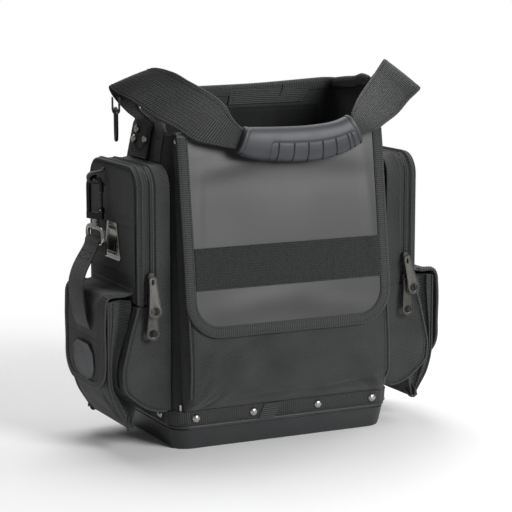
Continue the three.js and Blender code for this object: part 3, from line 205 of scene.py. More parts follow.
def unit(vectors: Array) -> Array:
    """The vectors at length 1."""
    size = np.linalg.norm(vectors, axis=-1, keepdims=True)
    return vectors / np.where(size < 1e-12, 1, size)


def rounded_box(half_x: float, half_y: float, radius: float, steps: int) -> Array:
    """Outline of a rounded rectangle: four quarter circles joined by straight sides.

    Args:
        half_x: Half the size along the first axis.
        half_y: Half the size along the second axis.
        radius: Corner radius.
        steps: Points on each corner.

    Returns:
        The outline, anticlockwise, 4 * steps by 2.
    """
    turn = np.linspace(0, TAU / 4, steps)
    quarters = np.arange(4)[:, None] * TAU / 4 + turn
    centre = np.array([[1, 1], [-1, 1], [-1, -1], [1, -1]]) * [half_x - radius, half_y - radius]
    ring = np.stack([np.cos(quarters), np.sin(quarters)], axis=-1) * radius + centre[:, None]
    return ring.reshape(-1, 2)


# ---- meshes


@dataclass
class Patch:
    """Points in millimetres, faces and a flat map of the surface in millimetres."""

    points: Array
    faces: list[Array]
    flat: Array

    def outward(self) -> "Patch":
        """The same closed surface with its faces turned out, by the sign of its volume."""
        corners = [f[:, [0, k, k + 1]] for f in self.faces for k in range(1, f.shape[1] - 1)]
        tri = self.points[np.concatenate(corners)]
        volume = np.einsum("ij,ij->i", tri[:, 0], np.cross(tri[:, 1], tri[:, 2])).sum()
        faces = self.faces if volume > 0 else [f[:, ::-1] for f in self.faces]
        return Patch(self.points, faces, self.flat)

    def moved(self, offset: Sequence[float]) -> "Patch":
        """The same surface at another place."""
        return Patch(self.points + np.asarray(offset, dtype=float), self.faces, self.flat)

    def flipped(self, sign: int) -> "Patch":
        """The same surface with X times the sign, faces still out."""
        faces = self.faces if sign > 0 else [f[:, ::-1] for f in self.faces]
        return Patch(self.points * [sign, 1, 1], faces, self.flat)


def join(patches: Sequence[Patch]) -> Patch:
    """One patch that holds them all, side by side."""
    start = np.cumsum([0] + [len(p.points) for p in patches[:-1]])
    faces = [f + s for p, s in zip(patches, start) for f in p.faces]
    return Patch(
        np.vstack([p.points for p in patches]), faces, np.vstack([p.flat for p in patches])
    )


def grid_faces(rows: int, cols: int, wrap_rows: bool = False, wrap_cols: bool = False) -> Array:
    """Four-sided faces of a grid whose points run row by row."""
    i = np.arange(rows if wrap_rows else rows - 1)[:, None]
    j = np.arange(cols if wrap_cols else cols - 1)[None, :]
    below, right = (i + 1) % rows, (j + 1) % cols
    quads = [i * cols + j, i * cols + right, below * cols + right, below * cols + j]
    return np.stack(np.broadcast_arrays(*quads), axis=-1).reshape(-1, 4)


def grid_normals(grid: Array) -> Array:
    """Normals of a grid of points: the cross product of its two gradients."""
    return unit(np.cross(np.gradient(grid, axis=0), np.gradient(grid, axis=1)))


def slab(grid: Array, thickness: float) -> Patch:
    """A closed sheet of cloth: a grid moved half its thickness each way, with a rounded edge.

    Its flat map is made of summed lengths along the middle row and down the middle column.

    Args:
        grid: Middle surface, rows by columns by 3.
        thickness: Sheet thickness.

    Returns:
        The closed surface.
    """
    rows, cols = grid.shape[:2]
    half, count = thickness / 2, rows * cols
    measures = np.meshgrid(arc_length(grid[rows // 2]), arc_length(grid[:, cols // 2]))
    flat = np.stack(measures, axis=-1).reshape(-1, 2)
    middle, normal = grid.reshape(-1, 3), grid_normals(grid).reshape(-1, 3)
    top, left = np.arange(cols), np.arange(rows) * cols
    bottom, right = top + (rows - 1) * cols, left + cols - 1
    rim = np.concatenate([top[:-1], right[:-1], bottom[:0:-1], left[:0:-1]])
    inner = grid.copy()
    inner[0], inner[-1] = grid[1], grid[-2]
    inner[1:-1, 0], inner[1:-1, -1] = grid[1:-1, 1], grid[1:-1, -2]
    out = unit(middle - inner.reshape(-1, 3))
    edge = 2 * count + np.arange(len(rim))
    after, next_edge = np.roll(rim, -1), np.roll(edge, -1)
    faces = grid_faces(rows, cols)
    sheets = [
        faces, faces[:, ::-1] + count,
        np.stack([rim, after, next_edge, edge], axis=1)[:, ::-1],
        np.stack([rim + count, after + count, next_edge, edge], axis=1),
    ]
    points = [middle + normal * half, middle - normal * half, middle[rim] + out[rim] * 0.7 * half]
    return Patch(np.vstack(points), sheets, np.vstack([flat, flat, flat[rim]])).outward()


def loft(rings: Array, closed: bool = False, flat: Array | None = None) -> Patch:
    """A closed skin over rings of points, capped by a fan at each end unless it closes.

    Args:
        rings: The rings, one after the other, rows by points by 3.
        closed: Whether the last ring joins the first.
        flat: Flat map of the rings, or None to measure the middle ring and the first column.

    Returns:
        The closed surface.
    """
    rows, cols = rings.shape[:2]
    if flat is None:
        measures = np.meshgrid(closed_length(rings[rows // 2]), arc_length(rings[:, 0]))
        flat = np.stack(measures, axis=-1)
    flat = flat.reshape(-1, 2)
    points = rings.reshape(-1, 3)
    faces: list[Array] = [grid_faces(rows, cols, wrap_rows=closed, wrap_cols=True)]
    if not closed:
        middle = rings.mean(axis=1)
        j, last = np.arange(cols), (rows - 1) * cols
        after = (j + 1) % cols
        points = np.vstack([points, middle[0], middle[-1]])
        flat = np.vstack([flat, flat[:cols].mean(axis=0), flat[-cols:].mean(axis=0)])
        faces.append(np.stack([after, j, np.full(cols, rows * cols)], axis=1))
        faces.append(np.stack([last + j, last + after, np.full(cols, rows * cols + 1)], axis=1))
    return Patch(points, faces, flat).outward()


def sweep(path: Array, across: Array, up: Array, profile: Array, closed: bool = False) -> Patch:
    """Carry a closed profile along a path, capped at its ends unless the path closes.

    Args:
        path: Places of the profile's origin.
        across: Direction of the profile's first axis at each place.
        up: Direction of its second axis.
        profile: Outline, points by 2, or places by points by 2 where it changes.
        closed: Whether the path closes on itself.

    Returns:
        The closed surface.
    """
    shape = np.broadcast_to(profile, (len(path), *profile.shape[-2:]))
    rings = path[:, None] + shape[..., :1] * across[:, None] + shape[..., 1:] * up[:, None]
    along = closed_length(path) if closed else arc_length(path)
    return loft(rings, closed, np.stack(np.meshgrid(closed_length(shape[0]), along), axis=-1))


def circle(radius: float, sides: int) -> Array:
    """Points on a circle."""
    angle = np.arange(sides) * TAU / sides
    return np.stack([np.cos(angle), np.sin(angle)], axis=1) * radius


def path_frames(path: Array, hint: Sequence[float], closed: bool = False) -> tuple[Array, Array]:
    """Two directions square to a path.

    Args:
        path: The path's points.
        hint: A direction that the first result is square to.
        closed: Whether the path closes on itself.

    Returns:
        The first and the second direction at each point.
    """
    wide = np.vstack([path[-1:], path, path[:1]]) if closed else path
    way = np.gradient(wide, axis=0)
    way = unit(way[1:-1] if closed else way)
    across = unit(np.cross(np.broadcast_to(np.asarray(hint, dtype=float), way.shape), way))
    return across, unit(np.cross(way, across))


def cord(
    path: Array, radius: float, hint: Sequence[float], sides: int = 8, closed: bool = False
) -> Patch:
    """A round cord or rod along a path, whose free ends are drawn in to domes.

    Args:
        path: The cord's middle line.
        radius: Its radius.
        hint: A direction that its sides are set square to.
        sides: Points round it.
        closed: Whether it closes on itself.

    Returns:
        The closed surface.
    """
    across, up = path_frames(path, hint, closed)
    if closed:
        return sweep(path, across, up, circle(radius, sides), closed=True)
    way = unit(np.gradient(path, axis=0))
    dome = np.array([0.35, 0.8])
    start = path[0] - way[0] * radius * (1 - dome)[:, None] * 0.8
    end = path[-1] + way[-1] * radius * (1 - dome[::-1])[:, None] * 0.8
    width = np.concatenate([dome, np.ones(len(path)), dome[::-1]])
    pad = ((2, 2), (0, 0))
    profile = circle(radius, sides)[None] * width[:, None, None]
    full = np.vstack([start, path, end])
    return sweep(full, np.pad(across, pad, "edge"), np.pad(up, pad, "edge"), profile)


# Share of the length, share of the width and rise off the middle, in widths, at a bead's rings
THREAD_BEAD = ((-0.5, 0.15, -0.25), (-0.3, 0.8, 0.35), (0, 1, 0.6), (0.3, 0.8, 0.35), (0.5, 0.15, -0.25))
COIL_BEAD = ((-0.5, 0.3, 0), (-0.36, 0.9, 0), (0, 1, 0), (0.36, 0.9, 0), (0.5, 0.3, 0))


def beads(
    centre: Array, way: Array, up: Array, length: float, width: float, shape: Sequence[Sequence[float]]
) -> Patch:
    """Small six-sided beads of one shape, one at each place.

    Args:
        centre: The places.
        way: The direction that each bead lies along.
        up: The direction that each bead faces.
        length: Length of a bead.
        width: Width of a bead.
        shape: Rows of THREAD_BEAD's kind.

    Returns:
        All the beads as one patch.
    """
    share, girth, rise = np.array(shape)[:, :, None].transpose(1, 0, 2)
    ring = circle(0.5 * width, 6)
    local = mesh_of(share * length, girth * ring[:, 0], girth * ring[:, 1] + rise * width)
    axes = np.stack([way, unit(np.cross(way, up)), up], axis=1)
    points = centre[:, None] + np.einsum("pk,nkc->npc", local.reshape(-1, 3), axes)
    last = 6 * len(shape)
    offset = (np.arange(len(centre)) * last)[:, None, None]
    ends = np.stack([np.arange(5, -1, -1), np.arange(last - 6, last)])
    body = grid_faces(len(shape), 6, wrap_cols=True)
    faces = [(body + offset).reshape(-1, 4), (ends + offset).reshape(-1, 6)]
    return Patch(points.reshape(-1, 3), faces, points[..., :2].reshape(-1, 2)).outward()


def stitches(path: Array, normal: Array | Sequence[float], pitch: float = 3.6) -> Patch:
    """A row of sewing stitches: one bead of thread a pitch, bowed off the cloth.

    Args:
        path: The seam's points on the cloth.
        normal: The cloth's normals there, or one for the whole seam.
        pitch: Distance from one stitch to the next.

    Returns:
        All the stitches as one patch.
    """
    normal = np.broadcast_to(np.asarray(normal, dtype=float), path.shape)
    length = arc_length(path)
    count = max(int(length[-1] / pitch), 1)
    at = (np.arange(count) + 0.5) * length[-1] / count
    ahead, behind = (read_along(at + k * pitch, length, path) for k in (0.3, -0.3))
    up = unit(read_along(at, length, normal))
    return beads(read_along(at, length, path), unit(ahead - behind), up, 0.82 * pitch, 0.75, THREAD_BEAD)


def piece(
    name: str,
    patches: Patch | Sequence[Patch],
    finish: bpy.types.Material,
    replaces: Sequence[str] = (),
    slot: str | None = None,
    body: str = ROOT,
    sharp: float = 50,
) -> bpy.types.Object:
    """Put a patch into a mesh object, in metres, that rides on a body.

    Args:
        name: The piece's name.
        patches: Its surface or surfaces.
        finish: Its material.
        replaces: CAD nodes that it stands for.
        slot: The record's material slot, for a piece that stands for no node. Not used.
        body: The body that it rides on.
        sharp: Edges that bend by more degrees than this are kept sharp.

    Returns:
        The object.
    """
    patch = patches if isinstance(patches, Patch) else join(patches)
    mesh = bpy.data.meshes.new(name)
    faces = [face for group in patch.faces for face in group.tolist()]
    mesh.from_pydata((patch.points * MM).tolist(), [], faces)
    corner = np.empty(len(mesh.loops), dtype=np.int32)
    mesh.loops.foreach_get("vertex_index", corner)
    layer = mesh.uv_layers.new(name="flat")
    layer.data.foreach_set("uv", (patch.flat[corner] * MM).astype(np.float32).ravel())
    mesh.shade_smooth()
    mesh.set_sharp_from_angle(angle=math.radians(sharp))
    mesh.materials.append(finish)
    item = bpy.data.objects.new(name, mesh)
    bpy.context.scene.collection.objects.link(item)
    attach(item, body)
    if replaces:
        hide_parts(*replaces)
    LOG.info("piece %s: %d faces", name, len(mesh.polygons))
    return item


# ---- finishes


def linear(code: str) -> tuple[float, float, float, float]:
    """Linear colour of an sRGB hex code."""
    level = np.array([int(code[i : i + 2], 16) for i in (1, 3, 5)]) / 255
    flat = np.where(level <= 0.04045, level / 12.92, ((level + 0.055) / 1.055) ** 2.4)
    return (float(flat[0]), float(flat[1]), float(flat[2]), 1.0)


def add_node(
    tree: Tree,
    kind: str,
    settings: dict[str, Any] | None = None,
    inputs: dict[str | int, Any] | None = None,
) -> bpy.types.Node:
    """Add a node with its settings and links.

    Args:
        tree: The nodes to add it to.
        kind: The node's type.
        settings: Values of the node's own properties.
        inputs: Values of its inputs, or sockets to link to them.

    Returns:
        The node.
    """
    node = tree.nodes.new(kind)
    for key, value in (settings or {}).items():
        setattr(node, key, value)
    for key, value in (inputs or {}).items():
        if isinstance(value, Socket):
            tree.links.new(value, node.inputs[key])
        else:
            node.inputs[key].default_value = value
    return node


def math_node(tree: Tree, operation: str, *values: Any) -> Socket:
    """Result of one arithmetic step."""
    inputs = dict(enumerate(values))
    return add_node(tree, "ShaderNodeMath", {"operation": operation}, inputs).outputs[0]


def noise(tree: Tree, space: Any, size_mm: float, detail: float = 2.0) -> Socket:
    """Cloudy variation whose patches are about size_mm across."""
    inputs = {"Vector": space, "Scale": 1 / (size_mm * MM), "Detail": detail}
    return add_node(tree, "ShaderNodeTexNoise", None, inputs).outputs["Fac"]


def cells(tree: Tree, space: Any, size_mm: float) -> Socket:
    """Distance to the nearest of scattered points that lie about size_mm apart."""
    inputs = {"Vector": space, "Scale": 1 / (size_mm * MM)}
    return add_node(tree, "ShaderNodeTexVoronoi", None, inputs).outputs["Distance"]


def solid_space(tree: Tree) -> Socket:
    """The piece's own coordinates, in metres."""
    return add_node(tree, "ShaderNodeTexCoord").outputs["Object"]


def flat_axes(tree: Tree) -> tuple[Socket, Socket, Socket]:
    """The piece's own flat map, whole and as its two axes, in metres."""
    space = add_node(tree, "ShaderNodeUVMap", {"uv_map": "flat"}).outputs[0]
    split = add_node(tree, "ShaderNodeSeparateXYZ", None, {0: space})
    return space, split.outputs[0], split.outputs[1]


def wave(tree: Tree, axis: Any, pitch_mm: float) -> Socket:
    """Sine along one axis with one wave each pitch_mm, from -1 to 1."""
    return math_node(tree, "SINE", math_node(tree, "MULTIPLY", axis, TAU / (pitch_mm * MM)))


def blend_sum(tree: Tree, parts: Sequence[tuple[Any, float]], base: float) -> Socket:
    """A base value plus each socket times its weight."""
    total: Any = base
    for socket, weight in parts:
        total = math_node(tree, "MULTIPLY_ADD", socket, weight, total)
    return total


class Pattern(NamedTuple):
    """What a finish draws: its share of the lighter colour and its relief, from 0 to 1."""

    share: Socket
    height: Socket


@dataclass(frozen=True)
class Surfacing:
    """What every finish has: two colours, roughness, sheen, metal, coat and depth of relief."""

    name: str
    light: str
    dark: str
    roughness: float
    sheen: float = 0.0
    metallic: float = 0.0
    coat: float = 0.0
    relief_mm: float = 0.05
    swing: float = 0.1

    def pattern(self, tree: Tree) -> Pattern:
        """The finish's own pattern."""
        raise NotImplementedError

    def build(self) -> bpy.types.Material:
        """Mix the two colours by the pattern, vary the roughness with it and bump by its relief.

        Returns:
            The material.
        """
        material = bpy.data.materials.new(self.name)
        material.use_nodes = True
        tree = material.node_tree
        shader = tree.nodes["Principled BSDF"]
        for key, value in (
            ("Metallic", self.metallic), ("Sheen Weight", self.sheen), ("Sheen Roughness", 0.5),
            ("Coat Weight", self.coat), ("Coat Roughness", 0.15),
        ):
            shader.inputs[key].default_value = value
        drawn = self.pattern(tree)
        share = add_node(tree, "ShaderNodeClamp", None, {0: drawn.share}).outputs[0]
        colours = {0: share, 6: linear(self.dark), 7: linear(self.light)}
        mix = add_node(tree, "ShaderNodeMix", {"data_type": "RGBA"}, colours)
        fall = math_node(tree, "MULTIPLY", share, -self.swing)
        relief = {"Strength": 1.0, "Distance": self.relief_mm * MM, "Height": drawn.height}
        for key, socket in (
            ("Base Color", mix.outputs[2]),
            ("Roughness", math_node(tree, "ADD", fall, self.roughness + self.swing / 2)),
            ("Normal", add_node(tree, "ShaderNodeBump", None, relief).outputs[0]),
        ):
            tree.links.new(socket, shader.inputs[key])
        return material


@dataclass(frozen=True)
class WovenNylon(Surfacing):
    """Heavy textured nylon, woven of thick crimped yarn: matt, grainy, with lighter yarn tops.

    The real yarns lie about 0.9 mm apart, too fine to show, so the weave is drawn at pitch_mm.
    """

    relief_mm: float = 0.6
    pitch_mm: float = 2.4
    twill: float = 0.0

    def pattern(self, tree: Tree) -> Pattern:
        """Weave on the flat map, broken up by fibre noise and broad wear."""
        space, u, v = flat_axes(tree)
        plain = math_node(tree, "MULTIPLY", wave(tree, u, self.pitch_mm), wave(tree, v, self.pitch_mm))
        slant = wave(tree, math_node(tree, "ADD", u, v), 1.5 * self.pitch_mm)
        fibre = noise(tree, space, 1.6, 3)
        wear = noise(tree, solid_space(tree), 45)
        weave = blend_sum(tree, [(plain, 0.3 * (1 - self.twill)), (slant, 0.34 * self.twill)], 0.0)
        return Pattern(
            blend_sum(tree, [(weave, 0.9), (fibre, 1.5), (wear, 0.7)], -0.6),
            blend_sum(tree, [(weave, 1.0), (fibre, 0.9)], 0.05),
        )


@dataclass(frozen=True)
class Webbing(Surfacing):
    """Ribbed nylon webbing: hard round ribs across its length with a slight silk sheen.

    Real ribs lie about 1 mm apart; they are drawn as coarse as rib_mm, so that they show.
    """

    relief_mm: float = 0.5
    rib_mm: float = 2.8

    def pattern(self, tree: Tree) -> Pattern:
        """Ribs along the second axis of the flat map, cut by the lengthwise yarns."""
        space, u, v = flat_axes(tree)
        rib, yarn = wave(tree, v, self.rib_mm), wave(tree, u, 1.8)
        fibre = noise(tree, space, 1.2, 3)
        return Pattern(
            blend_sum(tree, [(rib, 0.42), (yarn, 0.12), (fibre, 1.1)], -0.08),
            blend_sum(tree, [(rib, 0.45), (yarn, 0.12), (fibre, 0.4)], 0.25),
        )


@dataclass(frozen=True)
class CoatedCloth(Surfacing):
    """Cloth with a thick smooth rubbery coat: a soft broad shine and a fine leathery grain."""

    relief_mm: float = 0.08
    swing: float = 0.06

    def pattern(self, tree: Tree) -> Pattern:
        """Fine pebbles 1.1 mm across and broad cloudy changes of shine."""
        space, _, _ = flat_axes(tree)
        cloud, speck = noise(tree, space, 70, 3), noise(tree, space, 2.5)
        return Pattern(
            blend_sum(tree, [(cloud, 0.9), (speck, 0.5)], -0.2),
            blend_sum(tree, [(cells(tree, space, 1.1), 0.5), (speck, 0.5)], 0.0),
        )


@dataclass(frozen=True)
class LoopPile(Surfacing):
    """Knitted loop tape: a dull fuzzy pile whose tufts catch light in specks."""

    relief_mm: float = 0.9

    def pattern(self, tree: Tree) -> Pattern:
        """Tufts 1.5 mm across over slow bands along the tape."""
        space, _, v = flat_axes(tree)
        tuft, fuzz, row = cells(tree, space, 1.5), noise(tree, space, 0.9, 4), wave(tree, v, 3.2)
        return Pattern(
            blend_sum(tree, [(tuft, -0.6), (fuzz, 1.4), (row, 0.12)], 0.1),
            blend_sum(tree, [(tuft, -0.8), (fuzz, 0.8), (row, 0.1)], 0.6),
        )


@dataclass(frozen=True)
class Moulding(Surfacing):
    """Injection-moulded plastic or rubber: fine spark-eroded grain, polished where it is rubbed."""

    swing: float = 0.12
    grain_mm: float = 0.8

    def pattern(self, tree: Tree) -> Pattern:
        """Even grain, with slow changes that read as handling marks."""
        solid = solid_space(tree)
        grain, marks = noise(tree, solid, self.grain_mm), noise(tree, solid, 30, 3)
        return Pattern(blend_sum(tree, [(marks, 1.2), (grain, 0.4)], -0.3), grain)


@dataclass(frozen=True)
class Metal(Surfacing):
    """Plated, sprung or coated metal: faint drawing lines and small scuffs from use."""

    relief_mm: float = 0.02
    swing: float = 0.2

    def pattern(self, tree: Tree) -> Pattern:
        """Scuffs 4 mm across dull the shine, and fine lines run across."""
        solid = solid_space(tree)
        stretch = {"Vector": solid, "Scale": (1.0, 1.0, 14.0)}
        fine = noise(tree, add_node(tree, "ShaderNodeMapping", None, stretch).outputs[0], 6)
        return Pattern(blend_sum(tree, [(noise(tree, solid, 4, 4), 1.0), (fine, 0.5)], -0.2), fine)


@dataclass(frozen=True)
class Thread(Surfacing):
    """Bonded sewing thread: smooth filament with a small shine."""

    def pattern(self, tree: Tree) -> Pattern:
        """Twist lines along the thread from fine noise."""
        twist = noise(tree, solid_space(tree), 0.6)
        return Pattern(twist, twist)


class Finishes:
    """Every finish of the tote, built once."""

    def __init__(self) -> None:
        """Build the materials, each named for what it is and how it was made."""
        self.nylon = WovenNylon("nylon_pack_cloth", "#373939", "#090a0a", 0.8, 0.12).build()
        self.twill = WovenNylon("nylon_twill", "#383a3a", "#090a0a", 0.76, 0.1, twill=0.9).build()
        self.lining = WovenNylon("nylon_lining", "#161818", "#080909", 0.9, 0.03, pitch_mm=1.6).build()
        self.webbing = Webbing("nylon_webbing", "#2a2c2c", "#060707", 0.6, 0.1).build()
        self.tape = Webbing("binding_tape", "#3a3c3c", "#090a0a", 0.66, 0.12, rib_mm=2.6).build()
        self.coated = CoatedCloth("coated_cloth", "#363836", "#2c2e2d", 0.47).build()
        self.pile = LoopPile("loop_tape", "#2b2d2d", "#0e0f0f", 0.95, 0.2).build()
        self.base = Moulding("moulded_polypropylene", "#2b2d2e", "#202223", 0.5).build()
        self.rubber = Moulding("moulded_soft_rubber", "#424448", "#323438", 0.5, grain_mm=0.6).build()
        self.badge = Moulding("moulded_badge", "#151a22", "#14171b", 0.42).build()
        self.nickel = Metal("plated_nickel", "#c4c2bc", "#7a7874", 0.25, metallic=1.0).build()
        self.pull = Metal("cast_pull_metal", "#6a6965", "#3c3b39", 0.38, metallic=0.9).build()
        self.steel = Metal("spring_steel", "#d0cfcb", "#94948f", 0.22, metallic=1.0).build()
        self.black = Metal("black_plated_metal", "#1c1c1e", "#0a0a0c", 0.3, metallic=0.6, coat=0.4).build()
        self.thread = Thread("bonded_thread", "#3a3c3c", "#1c1e1e", 0.55).build()
        self.coil = Thread("moulded_coil", "#242626", "#101111", 0.4).build()


# ---- folds in cloth


class Fold(NamedTuple):
    """One soft ridge or valley in cloth, in the cloth's own two measures.

    Its height falls off as a bell across it and along it.
    """

    u: Any
    v: Any
    angle_deg: Any
    width: Any
    length: Any
    height: Any


def folded(u: Array, v: Array, folds: Sequence[Fold]) -> Array:
    """Summed height of all the folds at each place.

    Args:
        u: Places along the cloth's first measure.
        v: Places along its second measure.
        folds: The folds.

    Returns:
        One height for each place.
    """
    u, v = np.broadcast_arrays(u, v)
    fold = Fold(*np.array(folds).T.reshape(6, -1, *(1,) * u.ndim))
    turn = np.radians(fold.angle_deg)
    du, dv = u - fold.u, v - fold.v
    along = du * np.cos(turn) + dv * np.sin(turn)
    over = dv * np.cos(turn) - du * np.sin(turn)
    return (fold.height * np.exp(-((over / fold.width) ** 2) - (along / fold.length) ** 2)).sum(axis=0)


def ripple(u: Array, v: Array, size: float, seed: int) -> Array:
    """Gentle unevenness from -1 to 1: five crossed sines whose directions and phases are seeded.

    Args:
        u: Places along the cloth's first measure.
        v: Places along its second measure.
        size: Typical length of a wave.
        seed: Seed of the random draws.

    Returns:
        One height for each place.
    """
    u, v = np.broadcast_arrays(u, v)
    rng = np.random.default_rng(seed)
    turn, phase = rng.uniform(0, TAU, 5), rng.uniform(0, TAU, 5)
    pitch = size * rng.uniform(0.7, 1.6, 5)
    turn, phase, pitch = (a.reshape(-1, *(1,) * u.ndim) for a in (turn, phase, pitch))
    return np.sin((u * np.cos(turn) + v * np.sin(turn)) * TAU / pitch + phase).mean(axis=0)


# ---- what the sub-assemblies share


@dataclass
class Part:
    """A sub-assembly of the tote: its finishes and how it adds its pieces."""

    finish: Finishes

    def put(
        self, name: str, patches: Patch | Sequence[Patch], finish: bpy.types.Material,
        *nodes: str, **words: Any,
    ) -> bpy.types.Object:
        """Add a piece.

        Args:
            name: The piece's name.
            patches: Its surface or surfaces.
            finish: Its material.
            *nodes: CAD nodes that it stands for.
            **words: The rest of what piece() takes.

        Returns:
            The object.
        """
        return piece(name, patches, finish, nodes, **words)

    def sew(self, name: str, rows: Sequence[Patch]) -> None:
        """Add rows of stitches as one piece."""
        self.put(name, rows, self.finish.thread, slot="webbing")

    def trim(self, name: str, patches: Patch | Sequence[Patch], **words: Any) -> None:
        """Add tape or sewn-in cord that no CAD node shows."""
        self.put(name, patches, self.finish.tape, slot="webbing", **words)


@dataclass
class SidePart(Part):
    """A sub-assembly that both sides have, shaped for the right one and flipped for the left."""

    side: Side

    def put(
        self, name: str, patches: Patch | Sequence[Patch], finish: bpy.types.Material,
        *nodes: str, **words: Any,
    ) -> bpy.types.Object:
        """Add a piece on this side.

        Args:
            name: The piece's name, without its side.
            patches: Its surface or surfaces on the right.
            finish: Its material.
            *nodes: CAD nodes that it stands for, with {} for the side's word.
            **words: The rest of what piece() takes.

        Returns:
            The object.
        """
        word = self.side.word
        patch = patches if isinstance(patches, Patch) else join(patches)
        here = [node.format(word) for node in nodes]
        return super().put(f"{name}_{word}", patch.flipped(self.side.value), finish, *here, **words)


def round_corner(radius: float, steps: int) -> tuple[Array, Array]:
    """How far a quarter circle has come in and how far it still has to go, at even turns."""
    turn = np.linspace(0, TAU / 4, steps)
    return radius * (1 - np.cos(turn)), radius * (1 - np.sin(turn))


@dataclass
class Hem:
    """Edge of a hanging sheet: down one side, round a corner, along the foot and up again.

    Places are pairs of a measure across the sheet and one down it, which may rise or fall.
    """

    half: float
    start: float
    foot: float
    corner: float
    steps: tuple[int, int, int]

    def line(self) -> tuple[Array, Array]:
        """Places along the edge, and the way in from each.

        Returns:
            The places and the directions, points by 2.
        """
        c, up = self.corner, 1.0 if self.start > self.foot else -1.0
        sides, turns, feet = self.steps
        turn = np.linspace(0, TAU / 4, turns)
        come, left = round_corner(c, turns)
        down = np.linspace(self.start, self.foot + up * c, sides)[:-1]
        side = np.column_stack([-self.half + 0 * down, down])
        bend = np.column_stack([-self.half + come, self.foot + up * left])
        round_way = np.column_stack([np.cos(turn), up * np.sin(turn)])
        way = np.vstack([np.tile(TO_RIGHT[:2], (len(down), 1)), round_way])
        across = np.linspace(-self.half + c, self.half - c, feet)[1:-1]
        low = np.column_stack([across, np.full(feet - 2, self.foot)])
        half, flip = np.vstack([side, bend]), np.array([-1.0, 1.0])
        place = np.vstack([half, low, half[::-1] * flip])
        return place, np.vstack([way, np.tile([0.0, up], (feet - 2, 1)), way[::-1] * flip])


# ---- the body and its base


class Walls(NamedTuple):
    """How far the four walls stand out from the middle, and the radius of the corners."""

    left: Array
    right: Array
    front: Array
    back: Array
    radius: Array

    def side(self, sign: float) -> Array:
        """The right wall, or the left one where the sign is negative."""
        return self.right if sign > 0 else self.left


